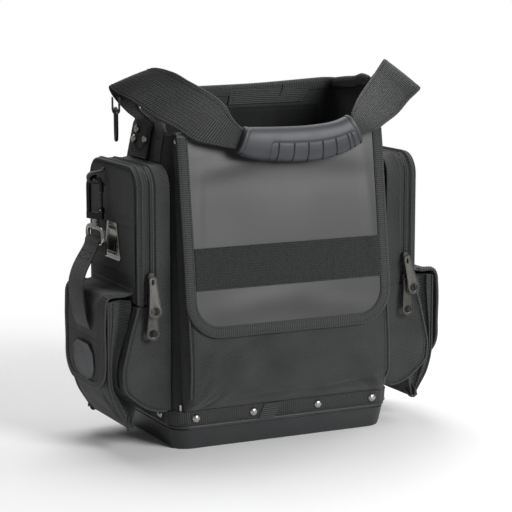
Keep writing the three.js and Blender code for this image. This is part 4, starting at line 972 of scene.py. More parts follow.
class Body:
    """Where the tote's own walls and its rim stand.

    A place round the body is a number w from 0 to 8: its whole part names the front wall, the
    front right corner, the right wall and so on anticlockwise, and its fraction is the share of
    that stretch.
    """

    # Height share, then the share that the left, right, front and back walls stand out, and the
    # corner's share of its radius
    SECTIONS = (
        (0.0, 1.0, 1.0, 1.0, 1.0, 1.0),
        (0.05, 1.0, 1.0, 1.0, 1.0, 0.9),
        (0.37, 1.0, 1.0, 0.85, 0.93, 0.6),
        (0.79, 1.0, 1.0, 0.73, 0.86, 0.6),
        (0.835, 0.98, 1.0, 0.706, 0.84, 0.6),
        (0.9, 0.947, 1.0, 0.706, 0.82, 0.6),
        (0.95, 0.867, 0.99, 0.706, 0.81, 0.6),
        (1.0, 0.8, 0.97, 0.706, 0.8, 0.6),
        (1.06, 0.76, 0.96, 0.706, 0.8, 0.6),
    )
    # Share along a side wall from the front, then the rim's height share on the left and right
    SIDE_RIM = (
        (0.0, 0.891, 0.891),
        (0.08, 0.905, 1.03),
        (0.25, 0.928, 1.035),
        (0.45, 0.965, 1.025),
        (0.7, 0.99, 1.02),
        (1.0, 0.997, 1.012),
    )
    BACK_RIM = ((0.0, 1.012), (0.5, 1.0), (1.0, 0.997))
    FRONT_RIM = 0.891
    RADIUS = 24.0

    def section(self, z: Array, inset: Array | float = 0.0) -> Walls:
        """Where the walls stand.

        Args:
            z: Heights.
            inset: How far to move the walls in.

        Returns:
            The walls at each height.
        """
        up = (np.asarray(z, dtype=float) - FABRIC_FOOT) / (RIM_HEIGHT - FABRIC_FOOT)
        sizes = (HALF_WIDTH, HALF_WIDTH, HALF_DEPTH, HALF_DEPTH, self.RADIUS)
        share, *columns = np.array(self.SECTIONS).T
        values = [size * np.interp(up, share, column) - inset for size, column in zip(sizes, columns)]
        return Walls(*values[:4], np.maximum(values[4], 1.0))

    def place(self, w: Array, z: Array, inset: Array | float = 0.0) -> Array:
        """Points of the walls: straight stretches joined by quarter circles.

        Args:
            w: Places round the body.
            z: Heights.
            inset: How far to move the walls in.

        Returns:
            The points.
        """
        w, z, inset = np.broadcast_arrays(w, z, inset)
        left, right, front, back, r = self.section(z, inset)
        wall = np.floor(w).astype(int) % 8
        f = w - np.floor(w)
        angle = (f + (wall - 3) // 2) * TAU / 4
        side, width = (back + front - 2 * r) * f, (left + right - 2 * r) * f
        cx = np.where((wall == 1) | (wall == 3), right - r, -left + r)
        cy = np.where((wall == 1) | (wall == 7), -front + r, back - r)
        flat = [wall == k for k in (0, 2, 4, 6)]
        x = np.select(flat, [-left + r + width, right, right - r - width, -left], cx + r * np.cos(angle))
        y = np.select(flat, [-front, -front + r + side, back, back - r - side], cy + r * np.sin(angle))
        return np.stack([x, y, z], axis=-1)

    def rim(self, w: Array) -> Array:
        """Height of the rim.

        Args:
            w: Places round the body.

        Returns:
            One height for each place.
        """
        wall, f = np.floor(w).astype(int) % 8, w - np.floor(w)
        level = np.zeros_like(f)
        shares = {
            2: monotone(f, self.SIDE_RIM, 2), 3: level + self.BACK_RIM[0][1],
            4: monotone(f, self.BACK_RIM, 1), 5: level + self.BACK_RIM[-1][1],
            6: monotone(1 - f, self.SIDE_RIM, 1),
        }
        here = [wall == k for k in shares]
        return RIM_HEIGHT * np.select(here, list(shares.values()), level + self.FRONT_RIM)

    def drape(self, w: Array, z: Array) -> Array:
        """How far the cloth moves in from the flat wall: soft waves on the upper half.

        Args:
            w: Places round the body.
            z: Heights.

        Returns:
            One distance for each place.
        """
        high = np.clip((z - 120) / 250, 0, 1)
        back = np.exp(-(((w - 4.5) / 0.9) ** 2))
        side = np.exp(-(((np.minimum(w, 9 - w) - 2.6) / 0.5) ** 2)) * np.clip((z - 355) / 40, 0, 1)
        return high * back * (1.6 + 1.6 * ripple(w * 90, z * 0.6, 130, 3)) + side * (
            0.8 + 0.8 * ripple(w * 60, z, 60, 5)
        )

    def cloth(self, w: Array, z: Array, inset: float = 0.0) -> Array:
        """Point of the draped cloth, moved in by inset."""
        return self.place(w, z, inset + self.drape(w, z))

    def around(self, wall: int = 30, corner: int = 8) -> Array:
        """Places round the whole body, each stretch evenly divided."""
        counts = [wall if k % 2 == 0 else corner for k in range(8)]
        return np.concatenate([k + np.arange(n) / n for k, n in enumerate(counts)])


@dataclass
class MouldedBase(Part):
    """Shallow moulded tray with a grooved lip."""

    half_x: float = HALF_WIDTH + 1
    half_y: float = HALF_DEPTH + 1
    radius: float = 24.0

    # Inset from the lip and height, from the middle of the underside up the outside and down in
    PROFILE = (
        (30, 0.6), (14, 0.3), (8.6, 0), (7.4, 0.3), (6.4, 1.2), (5.7, 2.6), (3.6, 13), (1.5, 24.6),
        (1.4, 25.2), (2.6, 25.7), (2.8, 26.3), (2.6, 26.9), (0.6, 27.2), (0.1, 27.7), (0, 29.3),
        (0.3, 30.1), (1.1, 30.5), (3.2, 30.5), (3.3, 46.8), (3.8, 47.4), (5.8, 47.5), (6.3, 47.0),
        (6.4, 31), (10.2, 4.2), (12, 3.1), (30, 3.0),
    )
    PAD_HALF = (16, 10)
    PAD_PLACE = (112, 52)
    # Inset of the pad's outline at its ends, and height
    PAD_LEVELS = ((0.0, 0.9), (0.0, 0.2), (0.8, 0.0))

    def build(self) -> None:
        """The profile lofted round a rounded rectangle, and four low pads under its corners."""
        rings = np.stack([self.ring(inset, z) for inset, z in self.PROFILE])
        self.put("base_tray_moulding", loft(rings), self.finish.base, "base_tray", sharp=35)
        flat = rounded_box(*self.PAD_HALF, 6, 6)
        levels = [mesh_of(*(flat * (1 - s / self.PAD_HALF[0])).T, z) for s, z in self.PAD_LEVELS]
        pad = loft(np.stack(levels))
        spots = np.array([[-1, -1], [1, -1], [1, 1], [-1, 1]]) * self.PAD_PLACE
        pads = [pad.moved((x, y, 0)) for x, y in spots]
        self.put("base_foot_pads", pads, self.finish.rubber, slot="rubber")

    def ring(self, inset: float, z: float) -> Array:
        """The tray's outline at one inset and height."""
        radius = max(self.radius - 0.5 * inset, 4)
        return mesh_of(*rounded_box(self.half_x - inset, self.half_y - inset, radius, 14).T, z)


@dataclass
class BodyShell(Part):
    """The open body: nylon walls, taped rim, sewn edge strips and what is sewn inside."""

    body: Body
    tape_width: float = 13.0
    tape: float = 1.5

    # Stretch round the body and the share of the rim's height that each edge tape reaches
    EDGE_TAPES = ((6.80, 6.985, 0.905), (2.015, 2.20, 1.02))
    EDGE_FOOT = 352.0
    BACK_TAPES = (3.93, 5.07)
    BACK_CROSS_SEAMS = (96.0, 330.0)
    BACK_UPRIGHT_SEAMS = (3.9, 5.1)
    # The hanger strip's foot: left end, right end and height, and how each moves to its top
    HANGER = ((-7.0, 3.6), (99.0, 12.0), (407.8, 18.2))
    # The inner pockets' panel: left, right, foot and top
    PANEL = (-118.0, 124.0, 60.0, 404.0)
    POCKET_SEAMS = (0, 30, 60, 89, 119)

    def build(self) -> None:
        """Walls, a tube of cloth folded in at the rim, and everything sewn to them."""
        w = self.body.around()
        rim = self.body.rim(w)
        share = np.concatenate([np.linspace(0, 0.05, 4), np.linspace(0.08, 1, 56)])[:, None]
        z = FABRIC_FOOT + (rim - FABRIC_FOOT) * share
        outer = self.body.cloth(w, z)
        rings = np.concatenate([outer, self.body.cloth(w, z, FABRIC)[::-1]])
        shell = loft(rings, True, mesh_of(arc_length(outer[20]), rings[..., 2]))
        self.put("body_walls", shell, self.finish.nylon, "tote_shell")
        self.build_rim()
        self.build_edges()
        self.build_back()
        self.build_hanger()
        self.build_inner_pockets()
        self.build_loop()

    def build_rim(self) -> None:
        """Tape folded over the rim of the sides and back, with two rows of stitches."""
        w = np.concatenate([[2.01], np.linspace(2.03, 6.97, 240), [6.99]])
        rim = self.body.rim(w)
        t, low = self.tape, self.tape_width
        # Offset out from the wall and height above the rim, round the folded tape's section
        section = np.array([
            (0.3, -low), (0.3, 0.1), (-0.9, 0.4), (-2.2, 0.1), (-2.3, -low), (-2.3 - t, -low + 0.3),
            (-2.5 - t, -low / 2), (-2.4 - t, -1.0), (-2.0 - 0.6 * t, 0.9), (-1.0, 0.3 + t),
            (0.0 + 0.2 * t, 0.9), (0.4 + t, -1.0), (0.5 + t, -low / 2), (0.3 + t, -low + 0.3),
        ])
        grid = np.stack([self.body.cloth(w, rim + dz, -out) for out, dz in section], axis=1)
        self.put("rim_tape", loft(grid), self.finish.tape, "rim_binding", sharp=70)
        rows = []
        for drop in (3.5, 9.5):
            for out in (-0.9 - t, 2.9 + t):
                path = self.body.cloth(w, rim - drop, out)
                beyond = self.body.cloth(w, rim - drop, out + np.sign(out) * 1.0)
                rows.append(stitches(path, unit(beyond - path)))
        self.sew("rim_stitches", rows)

    def build_edges(self) -> None:
        """Upright tape strips sewn down the side walls' front edges, and narrow ones at the back."""
        strips, rows = [], []
        for first, last, top in self.EDGE_TAPES:
            w = np.linspace(first, last, 8)[None, :]
            z = np.linspace(self.EDGE_FOOT, RIM_HEIGHT * top - 14, 30)[:, None]
            grid = self.body.cloth(w, z + 0 * w, -1.1)
            strips.append(slab(grid, 1.2))
            for k in (1, 6):
                rows.append(stitches(grid[:, k], unit(grid[:, k] - grid[:, k] * [0.5, 0.5, 1])))
        for middle in self.BACK_TAPES:
            w = np.linspace(middle - 0.02, middle + 0.02, 4)[None, :]
            z = np.linspace(BAND_TOP + 2, 408, 60)[:, None]
            strips.append(slab(self.body.cloth(w + 0 * z, z + 0 * w, -0.7), 1.0))
        self.trim("body_edge_tape", strips)
        self.sew("body_edge_stitches", rows)

    def build_back(self) -> None:
        """Seams of the back panel: a cross seam, a yoke and both upright edges."""
        w = np.linspace(4.03, 4.97, 120)
        z = np.linspace(56, 405, 100)
        paths = [self.body.cloth(w, height + 0 * w, -0.1) for height in self.BACK_CROSS_SEAMS]
        paths += [self.body.cloth(place + 0 * z, z, -1.3) for place in self.BACK_UPRIGHT_SEAMS]
        self.sew("back_seam_stitches", [stitches(path, TO_BACK) for path in paths])

    def back_inside(self, x: Array, z: Array) -> Array:
        """Depth of the back wall's inner face at x and z."""
        return self.body.cloth(4.5 - x / 300.0, z, FABRIC)[..., 1]

    def build_hanger(self) -> None:
        """Hanger strip with slanted ends, sewn to the inner back wall."""
        u, v = np.linspace(0, 1, 60)[None, :], np.linspace(0, 1, 8)[:, None]
        left, right, height = (foot + move * v for foot, move in self.HANGER)
        x = left + (right - left) * u
        z = height + 0.9 * ripple(x, 0 * x, 60, 9)
        y = self.back_inside(x, z) - 1.6 - 0.8 * np.sin(np.pi * u) * np.sin(np.pi * v)
        strip = mesh_of(x, y, z)
        self.put("inner_hanger_strip", slab(strip, 1.5), self.finish.tape, "inner_hanger")
        paths = [strip[:, 3], strip[:, 56], strip[1]]
        self.sew("inner_hanger_stitches", [stitches(path, TO_FRONT).moved((0, -0.9, 0)) for path in paths])

    def build_inner_pockets(self) -> None:
        """A lining panel on the inner back wall, sewn into four pockets that gape a little."""
        left, right, foot, top = self.PANEL
        x = np.linspace(left, right, 120)[None, :]
        z = np.linspace(foot, top, 70)[:, None]
        x, z = np.broadcast_arrays(x, z)
        gape = np.abs(np.sin((x - left) / (right - left) * 4 * np.pi))
        gape = gape * np.clip((z - foot) / (top - foot), 0, 1) ** 3
        grid = mesh_of(x, self.back_inside(x, z) - 1.4 - 2.6 * gape, z)
        self.put("inner_back_pockets", slab(grid, 1.2), self.finish.lining, slot="nylon")
        front = grid - [0, 0.7, 0]
        paths = [front[:, k] for k in self.POCKET_SEAMS] + [front[-2]]
        self.sew("inner_pocket_stitches", [stitches(path, TO_FRONT) for path in paths])

    def build_loop(self) -> None:
        """Small cord loop that hangs over the back rim."""
        y = float(self.back_inside(np.array(69.0), np.array(426.0))) + 1.0
        knot = np.array([
            (66, y + 4, 427), (69, y, 433.6), (72, y - 3.5, 431), (70, y - 4.4, 424), (67, y - 3.6, 417),
        ])
        self.trim("inner_cord_loop", cord(smooth_path(knot, 30), 1.1, TO_RIGHT))


@dataclass
class BaseBand(Part):
    """Ribbed webbing band riveted round the foot of the body."""

    body: Body
    thick: float = 2.2
    rib: float = 3.0
    rivet_seat: float = 2.7

    # Height above the band's foot and the share of its thickness there
    PROFILE = (
        (0.0, 0.55), (0.5, 0.85), (1.2, 1), (5, 1), (9.5, 1), (14, 1), (17.8, 1), (18.5, 0.85), (19.0, 0.55),
    )
    SEAMS = (2.4, 16.6)
    LONG_RIVETS = (-0.82, -0.3, 0.3, 0.82)
    SIDE_RIVETS = (-0.55, 0.55)
    SLIPS = (7.62, 1.30)

    def build(self) -> None:
        """Ribs run up the band; the ends overlap in a slanted join at the front."""
        w = self.body.around(170, 18)
        z, edge = np.array(self.PROFILE).T
        along = arc_length(self.body.place(w, FABRIC_FOOT + 0 * w, -self.thick))
        ribs = 0.35 * np.cos(TAU * along / self.rib)
        out = 0.3 + self.thick * edge[:, None] + ribs * (edge[:, None] > 0.9)
        outer = self.body.place(w[None], (FABRIC_FOOT + z)[:, None], -out)
        inner = self.body.place(w[None], (FABRIC_FOOT + z[::-1])[:, None], -0.3)
        flat = mesh_of(np.concatenate([z, z[::-1]])[:, None], along)
        patch = loft(np.concatenate([outer, inner]), True, flat)
        self.put("base_band_webbing", [patch, self.overlap()], self.finish.webbing, "base_band")
        self.build_stitches()
        self.build_rivets()
        self.build_corner_slips()

    def overlap(self) -> Patch:
        """The band's free end, lying slanted over its start."""
        u, v = np.linspace(0, 1, 24)[None, :], np.linspace(0, 1, 8)[:, None]
        x = -38 + 8 * v + (22 + 0 * v) * u
        y = -HALF_DEPTH - 0.3 - self.thick - 0.9 + 0.25 * np.cos(TAU * x / self.rib)
        return slab(mesh_of(x, y, FABRIC_FOOT + 0.6 + 17.8 * v + 0 * u), 1.2)

    def build_stitches(self) -> None:
        """One row of stitches along each edge of the band."""
        w = self.body.around(60, 12)
        rows = []
        for rise in self.SEAMS:
            z = FABRIC_FOOT + rise + 0 * w
            path = self.body.place(w, z, -2.75)
            rows.append(stitches(path, unit(path - self.body.place(w, z, 1.0))))
        self.sew("base_band_stitches", rows)

    def build_rivets(self) -> None:
        """Domed rivets on all four walls, in the places of their CAD nodes."""
        names, heads = [], []
        z, out = FABRIC_FOOT + BAND_RIVET_HEIGHT, self.rivet_seat
        for i, share in enumerate(self.LONG_RIVETS, 1):
            for word, sign in (("front", -1), ("back", 1)):
                names.append(f"band_rivet_{word}_{i}")
                heads.append(rivet_head((share * HALF_WIDTH, sign * (HALF_DEPTH + out), z), (0, sign, 0)))
        for side in Side:
            for i, share in enumerate(self.SIDE_RIVETS, 1):
                names.append(f"band_rivet_{side.word}_{i}")
                place = (side.value * (HALF_WIDTH + out), share * HALF_DEPTH, z)
                heads.append(rivet_head(place, (side.value, 0, 0)))
        self.put("band_rivets", heads, self.finish.nickel, *names)

    def build_corner_slips(self) -> None:
        """Small folded metal ends on the edge tape at the two front corners."""
        slips = []
        outline = rounded_box(1.5, 0.8, 0.5, 3)
        for w in self.SLIPS:
            middle, beyond = self.body.place(np.array([w, w]), np.array([54.0, 54.0]), np.array([-0.6, -1.6]))
            out = unit(beyond - middle)
            side = np.array([-out[1], out[0], 0.0])
            flat = middle + side * outline[:, :1] + out * outline[:, 1:]
            slips.append(loft(np.stack([flat + [0, 0, z] for z in (-3.5, -3, 3, 3.5)])))
        self.put("corner_slips", slips, self.finish.nickel, slot="nickel")


# Radius and rise of a rivet's head, from its rim to its crown
RIVET_PROFILE = ((5.4, 0), (5.4, 0.7), (5.1, 1.3), (4.4, 2.1), (3.3, 2.8), (2.0, 3.25), (0.7, 3.4))


def rivet_head(place: Sequence[float], out: Sequence[float]) -> Patch:
    """Domed rivet head: a profile of radius and rise turned about its axis.

    Args:
        place: Middle of the head's seat.
        out: Level direction that the head faces.

    Returns:
        The closed surface.
    """
    radius, rise = np.array(RIVET_PROFILE).T[:, :, None, None]
    axis = np.asarray(out, dtype=float)
    side = np.array([axis[1], -axis[0], 0.0])
    turn = circle(1.0, 20)
    ring = radius * (turn[None, :, :1] * side + turn[None, :, 1:] * UPRIGHT)
    return loft(ring + rise * axis + np.asarray(place, dtype=float))


# ---- the front pocket and its cover


def pouch_ring(
    z: Array, back: Array, front: Array, half: float, radius: float, tuck: float = 0.0
) -> Array:
    """Open rings of a pouch seen from above: side, corner, face, corner, side.

    Args:
        z: Heights, one ring each.
        back: How far the open edge lies along the pouch's depth at each height.
        front: How far the face lies at each height.
        half: Half the pouch's width.
        radius: Corner radius.
        tuck: How far the middle of each side is folded in.

    Returns:
        Rows by columns by 3, as (width, depth, height).
    """
    z, back, front = (np.asarray(a, dtype=float)[:, None] for a in (z, back, front))
    deep = np.abs(front - back)
    sign = np.sign(front - back)
    r = np.minimum(radius, 0.8 * deep)
    t = np.linspace(0, 1, 12)[None, :-1]
    turn = np.linspace(0, TAU / 4, 8)[None, :]
    face = np.linspace(-1, 1, 90)[None, 1:-1]
    fold = tuck * np.sin(np.pi * t) ** 2
    side = np.stack(np.broadcast_arrays(half - fold, back + sign * (deep - r) * t, z), axis=-1)
    corner = np.stack(
        np.broadcast_arrays(half - r + r * np.cos(turn), front - sign * r * (1 - np.sin(turn)), z), axis=-1
    )
    flat = np.stack(np.broadcast_arrays(-(half - r) * face, front + 0 * face, z), axis=-1)
    other = [-1, 1, 1]
    return np.concatenate([side, corner, flat, corner[:, ::-1] * other, side[:, ::-1] * other], axis=1)


@dataclass
class FrontPocket(Part):
    """Puffed nylon pouch with corded front edges."""

    body: Body
    half: float = 139.0
    foot: float = 50.1
    top: float = 383.0

    # Height share and how far the face stands out, as a share of the half depth
    FACE = ((0, 1.035), (0.036, 1.19), (0.15, 1.235), (0.405, 1.14), (0.6, 1.047), (1.0, 0.84))
    FOLDS = (
        Fold(-124, 66, 40, 3.2, 22, 4.4), Fold(-113, 58, 34, 2.6, 24, -4.2), Fold(-98, 68, 22, 5, 28, 2.4),
        Fold(-118, 84, 70, 5, 18, -2.4), Fold(124, 64, 140, 3.4, 18, 3.8), Fold(112, 60, 150, 3.4, 22, -3.2),
        Fold(-30, 64, 3, 3.0, 70, -2.6), Fold(10, 72, -2, 5, 90, 2.2), Fold(84, 68, 4, 2.4, 46, -2.4),
        Fold(88, 74, 4, 3, 46, 1.8), Fold(-70, 104, 20, 14, 45, 3.2), Fold(55, 118, -14, 15, 60, 2.6),
        Fold(-10, 92, 4, 9, 60, -1.6), Fold(-70, 126, 24, 5, 40, -2.6), Fold(84, 96, 160, 7, 34, -1.8),
        Fold(-112, 104, 64, 7, 30, 2.4),
    )
    BAR_TACK = ((-128.0, -103.5, 74.0), (-121, -104.2, 74.5))
    STUD = (139.2, -66.0, 377.0)
    STUD_SCALE = 0.5

    def face(self, z: Array) -> Array:
        """Depth of the flat face at z."""
        return -HALF_DEPTH * monotone((z - self.foot) / (self.top - self.foot), self.FACE, 1)

    def relief(self, x: Array, z: Array) -> Array:
        """How far the creased cloth stands off the flat face.

        Args:
            x: Places across the face.
            z: Heights.

        Returns:
            One distance for each place, none at the edges and under the cover.
        """
        edge = np.clip((self.half - np.abs(x)) / 20, 0, 1) * np.clip((z - self.foot) / 8, 0, 1)
        low = np.clip((200 - z) / 60, 0, 1)
        return edge * low * (folded(x, z, self.FOLDS) + 0.9 * ripple(x, z, 60, 11))

    def build(self) -> None:
        """Pouch wall with its floor, corded edges and seams."""
        z = np.concatenate([np.linspace(self.foot + 1, 70, 14), np.linspace(73, self.top, 74)])
        back = -self.body.section(z).front - 0.3
        grid = pouch_ring(z, back, self.face(z) + 1, self.half - 1, 8)
        grid[..., 1] -= self.relief(grid[..., 0], grid[..., 2])
        u = np.linspace(-1, 1, 40)[None, :] * (self.half - 2)
        v = np.linspace(0, 1, 6)[:, None]
        floor_y = back[0] - 0.5 + (self.face(z)[0] + 2 - back[0]) * v
        floor = slab(mesh_of(u, floor_y, self.foot + 1), 1.6)
        self.put("front_pouch", [slab(grid, 2.0), floor], self.finish.nylon, "front_pocket")
        self.build_edges()
        self.build_studs()

    def build_edges(self) -> None:
        """Cord sewn into both front edges and round the lower corners, with stitches beside it."""
        cords, rows = [], []
        z = np.linspace(58, self.top - 4, 90)
        for sign in (-1, 1):
            x = sign * (self.half - 2.2 + 0 * z)
            foot = np.array([[sign * (self.half - 9), self.face(np.array(52.0)) + 1, 51.5]])
            path = np.vstack([foot, np.column_stack([x, self.face(z) - 0.2, z])])
            cords.append(cord(smooth_path(path[::6], 110), 1.5, TO_RIGHT))
            line = np.column_stack([x - sign * 4.5, self.face(z) - 0.1, z])
            line[:, 1] -= self.relief(line[:, 0], z)
            rows.append(stitches(line, TO_FRONT))
        self.trim("front_pouch_cords", cords)
        bar = cord(resample(np.array(self.BAR_TACK), 8), 1.0, TO_BACK)
        self.sew("front_pouch_stitches", [*rows, bar])

    def build_studs(self) -> None:
        """Small rivets at the pouch's upper corners."""
        heads = []
        for sign in (-1.0, 1.0):
            place = np.array(self.STUD) * [sign, 1, 1]
            head = rivet_head(place, (sign, 0, 0))
            heads.append(Patch(place + (head.points - place) * self.STUD_SCALE, head.faces, head.flat))
        self.put("pouch_corner_studs", heads, self.finish.nickel, slot="nickel", sharp=35)


@dataclass
class FrontCover(Part):
    """Coated-cloth cover with webbing binding and a band of loop tape."""

    body: Body
    pocket: FrontPocket
    half: float = 140.0
    bottom: float = 142.0
    corner: float = 45.0
    top: float = 376.0
    binding: float = 13.0

    FOLDS = (
        Fold(-60, 350, 12, 12, 60, 1.3), Fold(70, 352, -10, 14, 60, 1.1), Fold(0, 330, 0, 18, 120, -0.8),
        Fold(-118, 300, 86, 8, 60, 0.9), Fold(116, 290, 94, 8, 70, 1.0), Fold(-40, 180, 6, 16, 80, 1.2),
        Fold(60, 170, -8, 14, 60, 0.9),
    )
    # Depth and height of the roll over the pouch's rim
    ROLL = ((-58, 386.2), (-64, 387.7), (-70, 387.2), (-73.4, 383), (-73.6, 378.5))
    # Half width, foot and top of the loop band
    BAND = (126.6, 200.2, 250.0)

    def depth(self, x: Array, z: Array) -> Array:
        """Depth of the cover's middle surface.

        Args:
            x: Places across the cover.
            z: Heights.

        Returns:
            One depth for each place.
        """
        lift = 0.6 + folded(x, z, self.FOLDS) + 0.5 * ripple(x, z, 110, 21)
        lift = lift * np.clip((self.top + 4 - z) / 20, 0, 1)
        return self.pocket.face(z) - 1.4 - np.maximum(lift, -0.2) - self.pocket.relief(x, z)

    def width(self, z: Array) -> Array:
        """Half width at z, drawn in round the lower corners."""
        drop = np.clip((self.bottom + self.corner - z) / self.corner, 0, 1)
        return self.half - self.corner * (1 - np.sqrt(1 - drop**2))

    def build(self) -> None:
        """Cover with its roll over the rim, binding and loop tape."""
        low = self.bottom + self.corner
        curve = self.bottom + round_corner(self.corner, 16)[1][1:]
        z = np.concatenate([np.linspace(self.top, low, 60), curve])
        u = np.linspace(-1, 1, 110)[None, :]
        x = u * self.width(z)[:, None]
        down = mesh_of(x, self.depth(x, z[:, None]), z[:, None])
        roll = smooth_path([(0, y, height) for y, height in self.ROLL], 14)
        over = mesh_of(u * self.half, roll[:, None, 1], roll[:, None, 2])
        grid = np.concatenate([over, down[1:]])
        cover = self.put("front_cover", slab(grid, FABRIC), self.finish.coated, "front_flap")
        self.build_binding()
        self.build_pile()

    def build_binding(self) -> None:
        """Tape folded over the edge, with two rows of stitches."""
        hem = Hem(self.half, self.top + 8, self.bottom, self.corner, (64, 20, 60))
        place, inward = hem.line()
        w = self.binding
        # Distance in from the edge and out from the cover, round the folded tape's section
        section = np.array([
            (0.2, -1.0), (-0.9, -0.9), (-1.2, 0.4), (-0.8, 1.7), (0.6, 2.3), (w * 0.5, 2.45),
            (w - 0.8, 2.3), (w, 1.8), (w, 1.1), (0.3, 1.1),
        ])
        x, z = np.moveaxis(place[:, None] + inward[:, None] * section[None, :, :1], -1, 0)
        grid = mesh_of(x, self.depth(x, z) - section[None, :, 1], z)
        self.put("cover_binding", loft(grid), self.finish.tape, "flap_binding", sharp=70)
        rows = []
        for inset in (2.6, w - 2.2):
            x, z = (place + inward * inset).T
            rows.append(stitches(np.column_stack([x, self.depth(x, z) - 2.45, z]), TO_FRONT))
        self.sew("cover_stitches", rows)

    def build_pile(self) -> None:
        """Band of loop tape across the cover, sewn down along both edges."""
        half, foot, top = self.BAND
        x, z = np.meshgrid(np.linspace(-half, half, 160), np.linspace(foot, top, 30))
        grid = np.stack([x, self.depth(x, z) - 2.0 - 0.15 * ripple(x, z, 9, 4), z], axis=-1)
        self.put("cover_loop_band", slab(grid, 1.6), self.finish.pile, "flap_loop_strip")
        self.sew("loop_band_stitches", [stitches(grid[k] - [0, 0.85, 0], TO_FRONT) for k in (1, -2)])


# ---- the side pockets


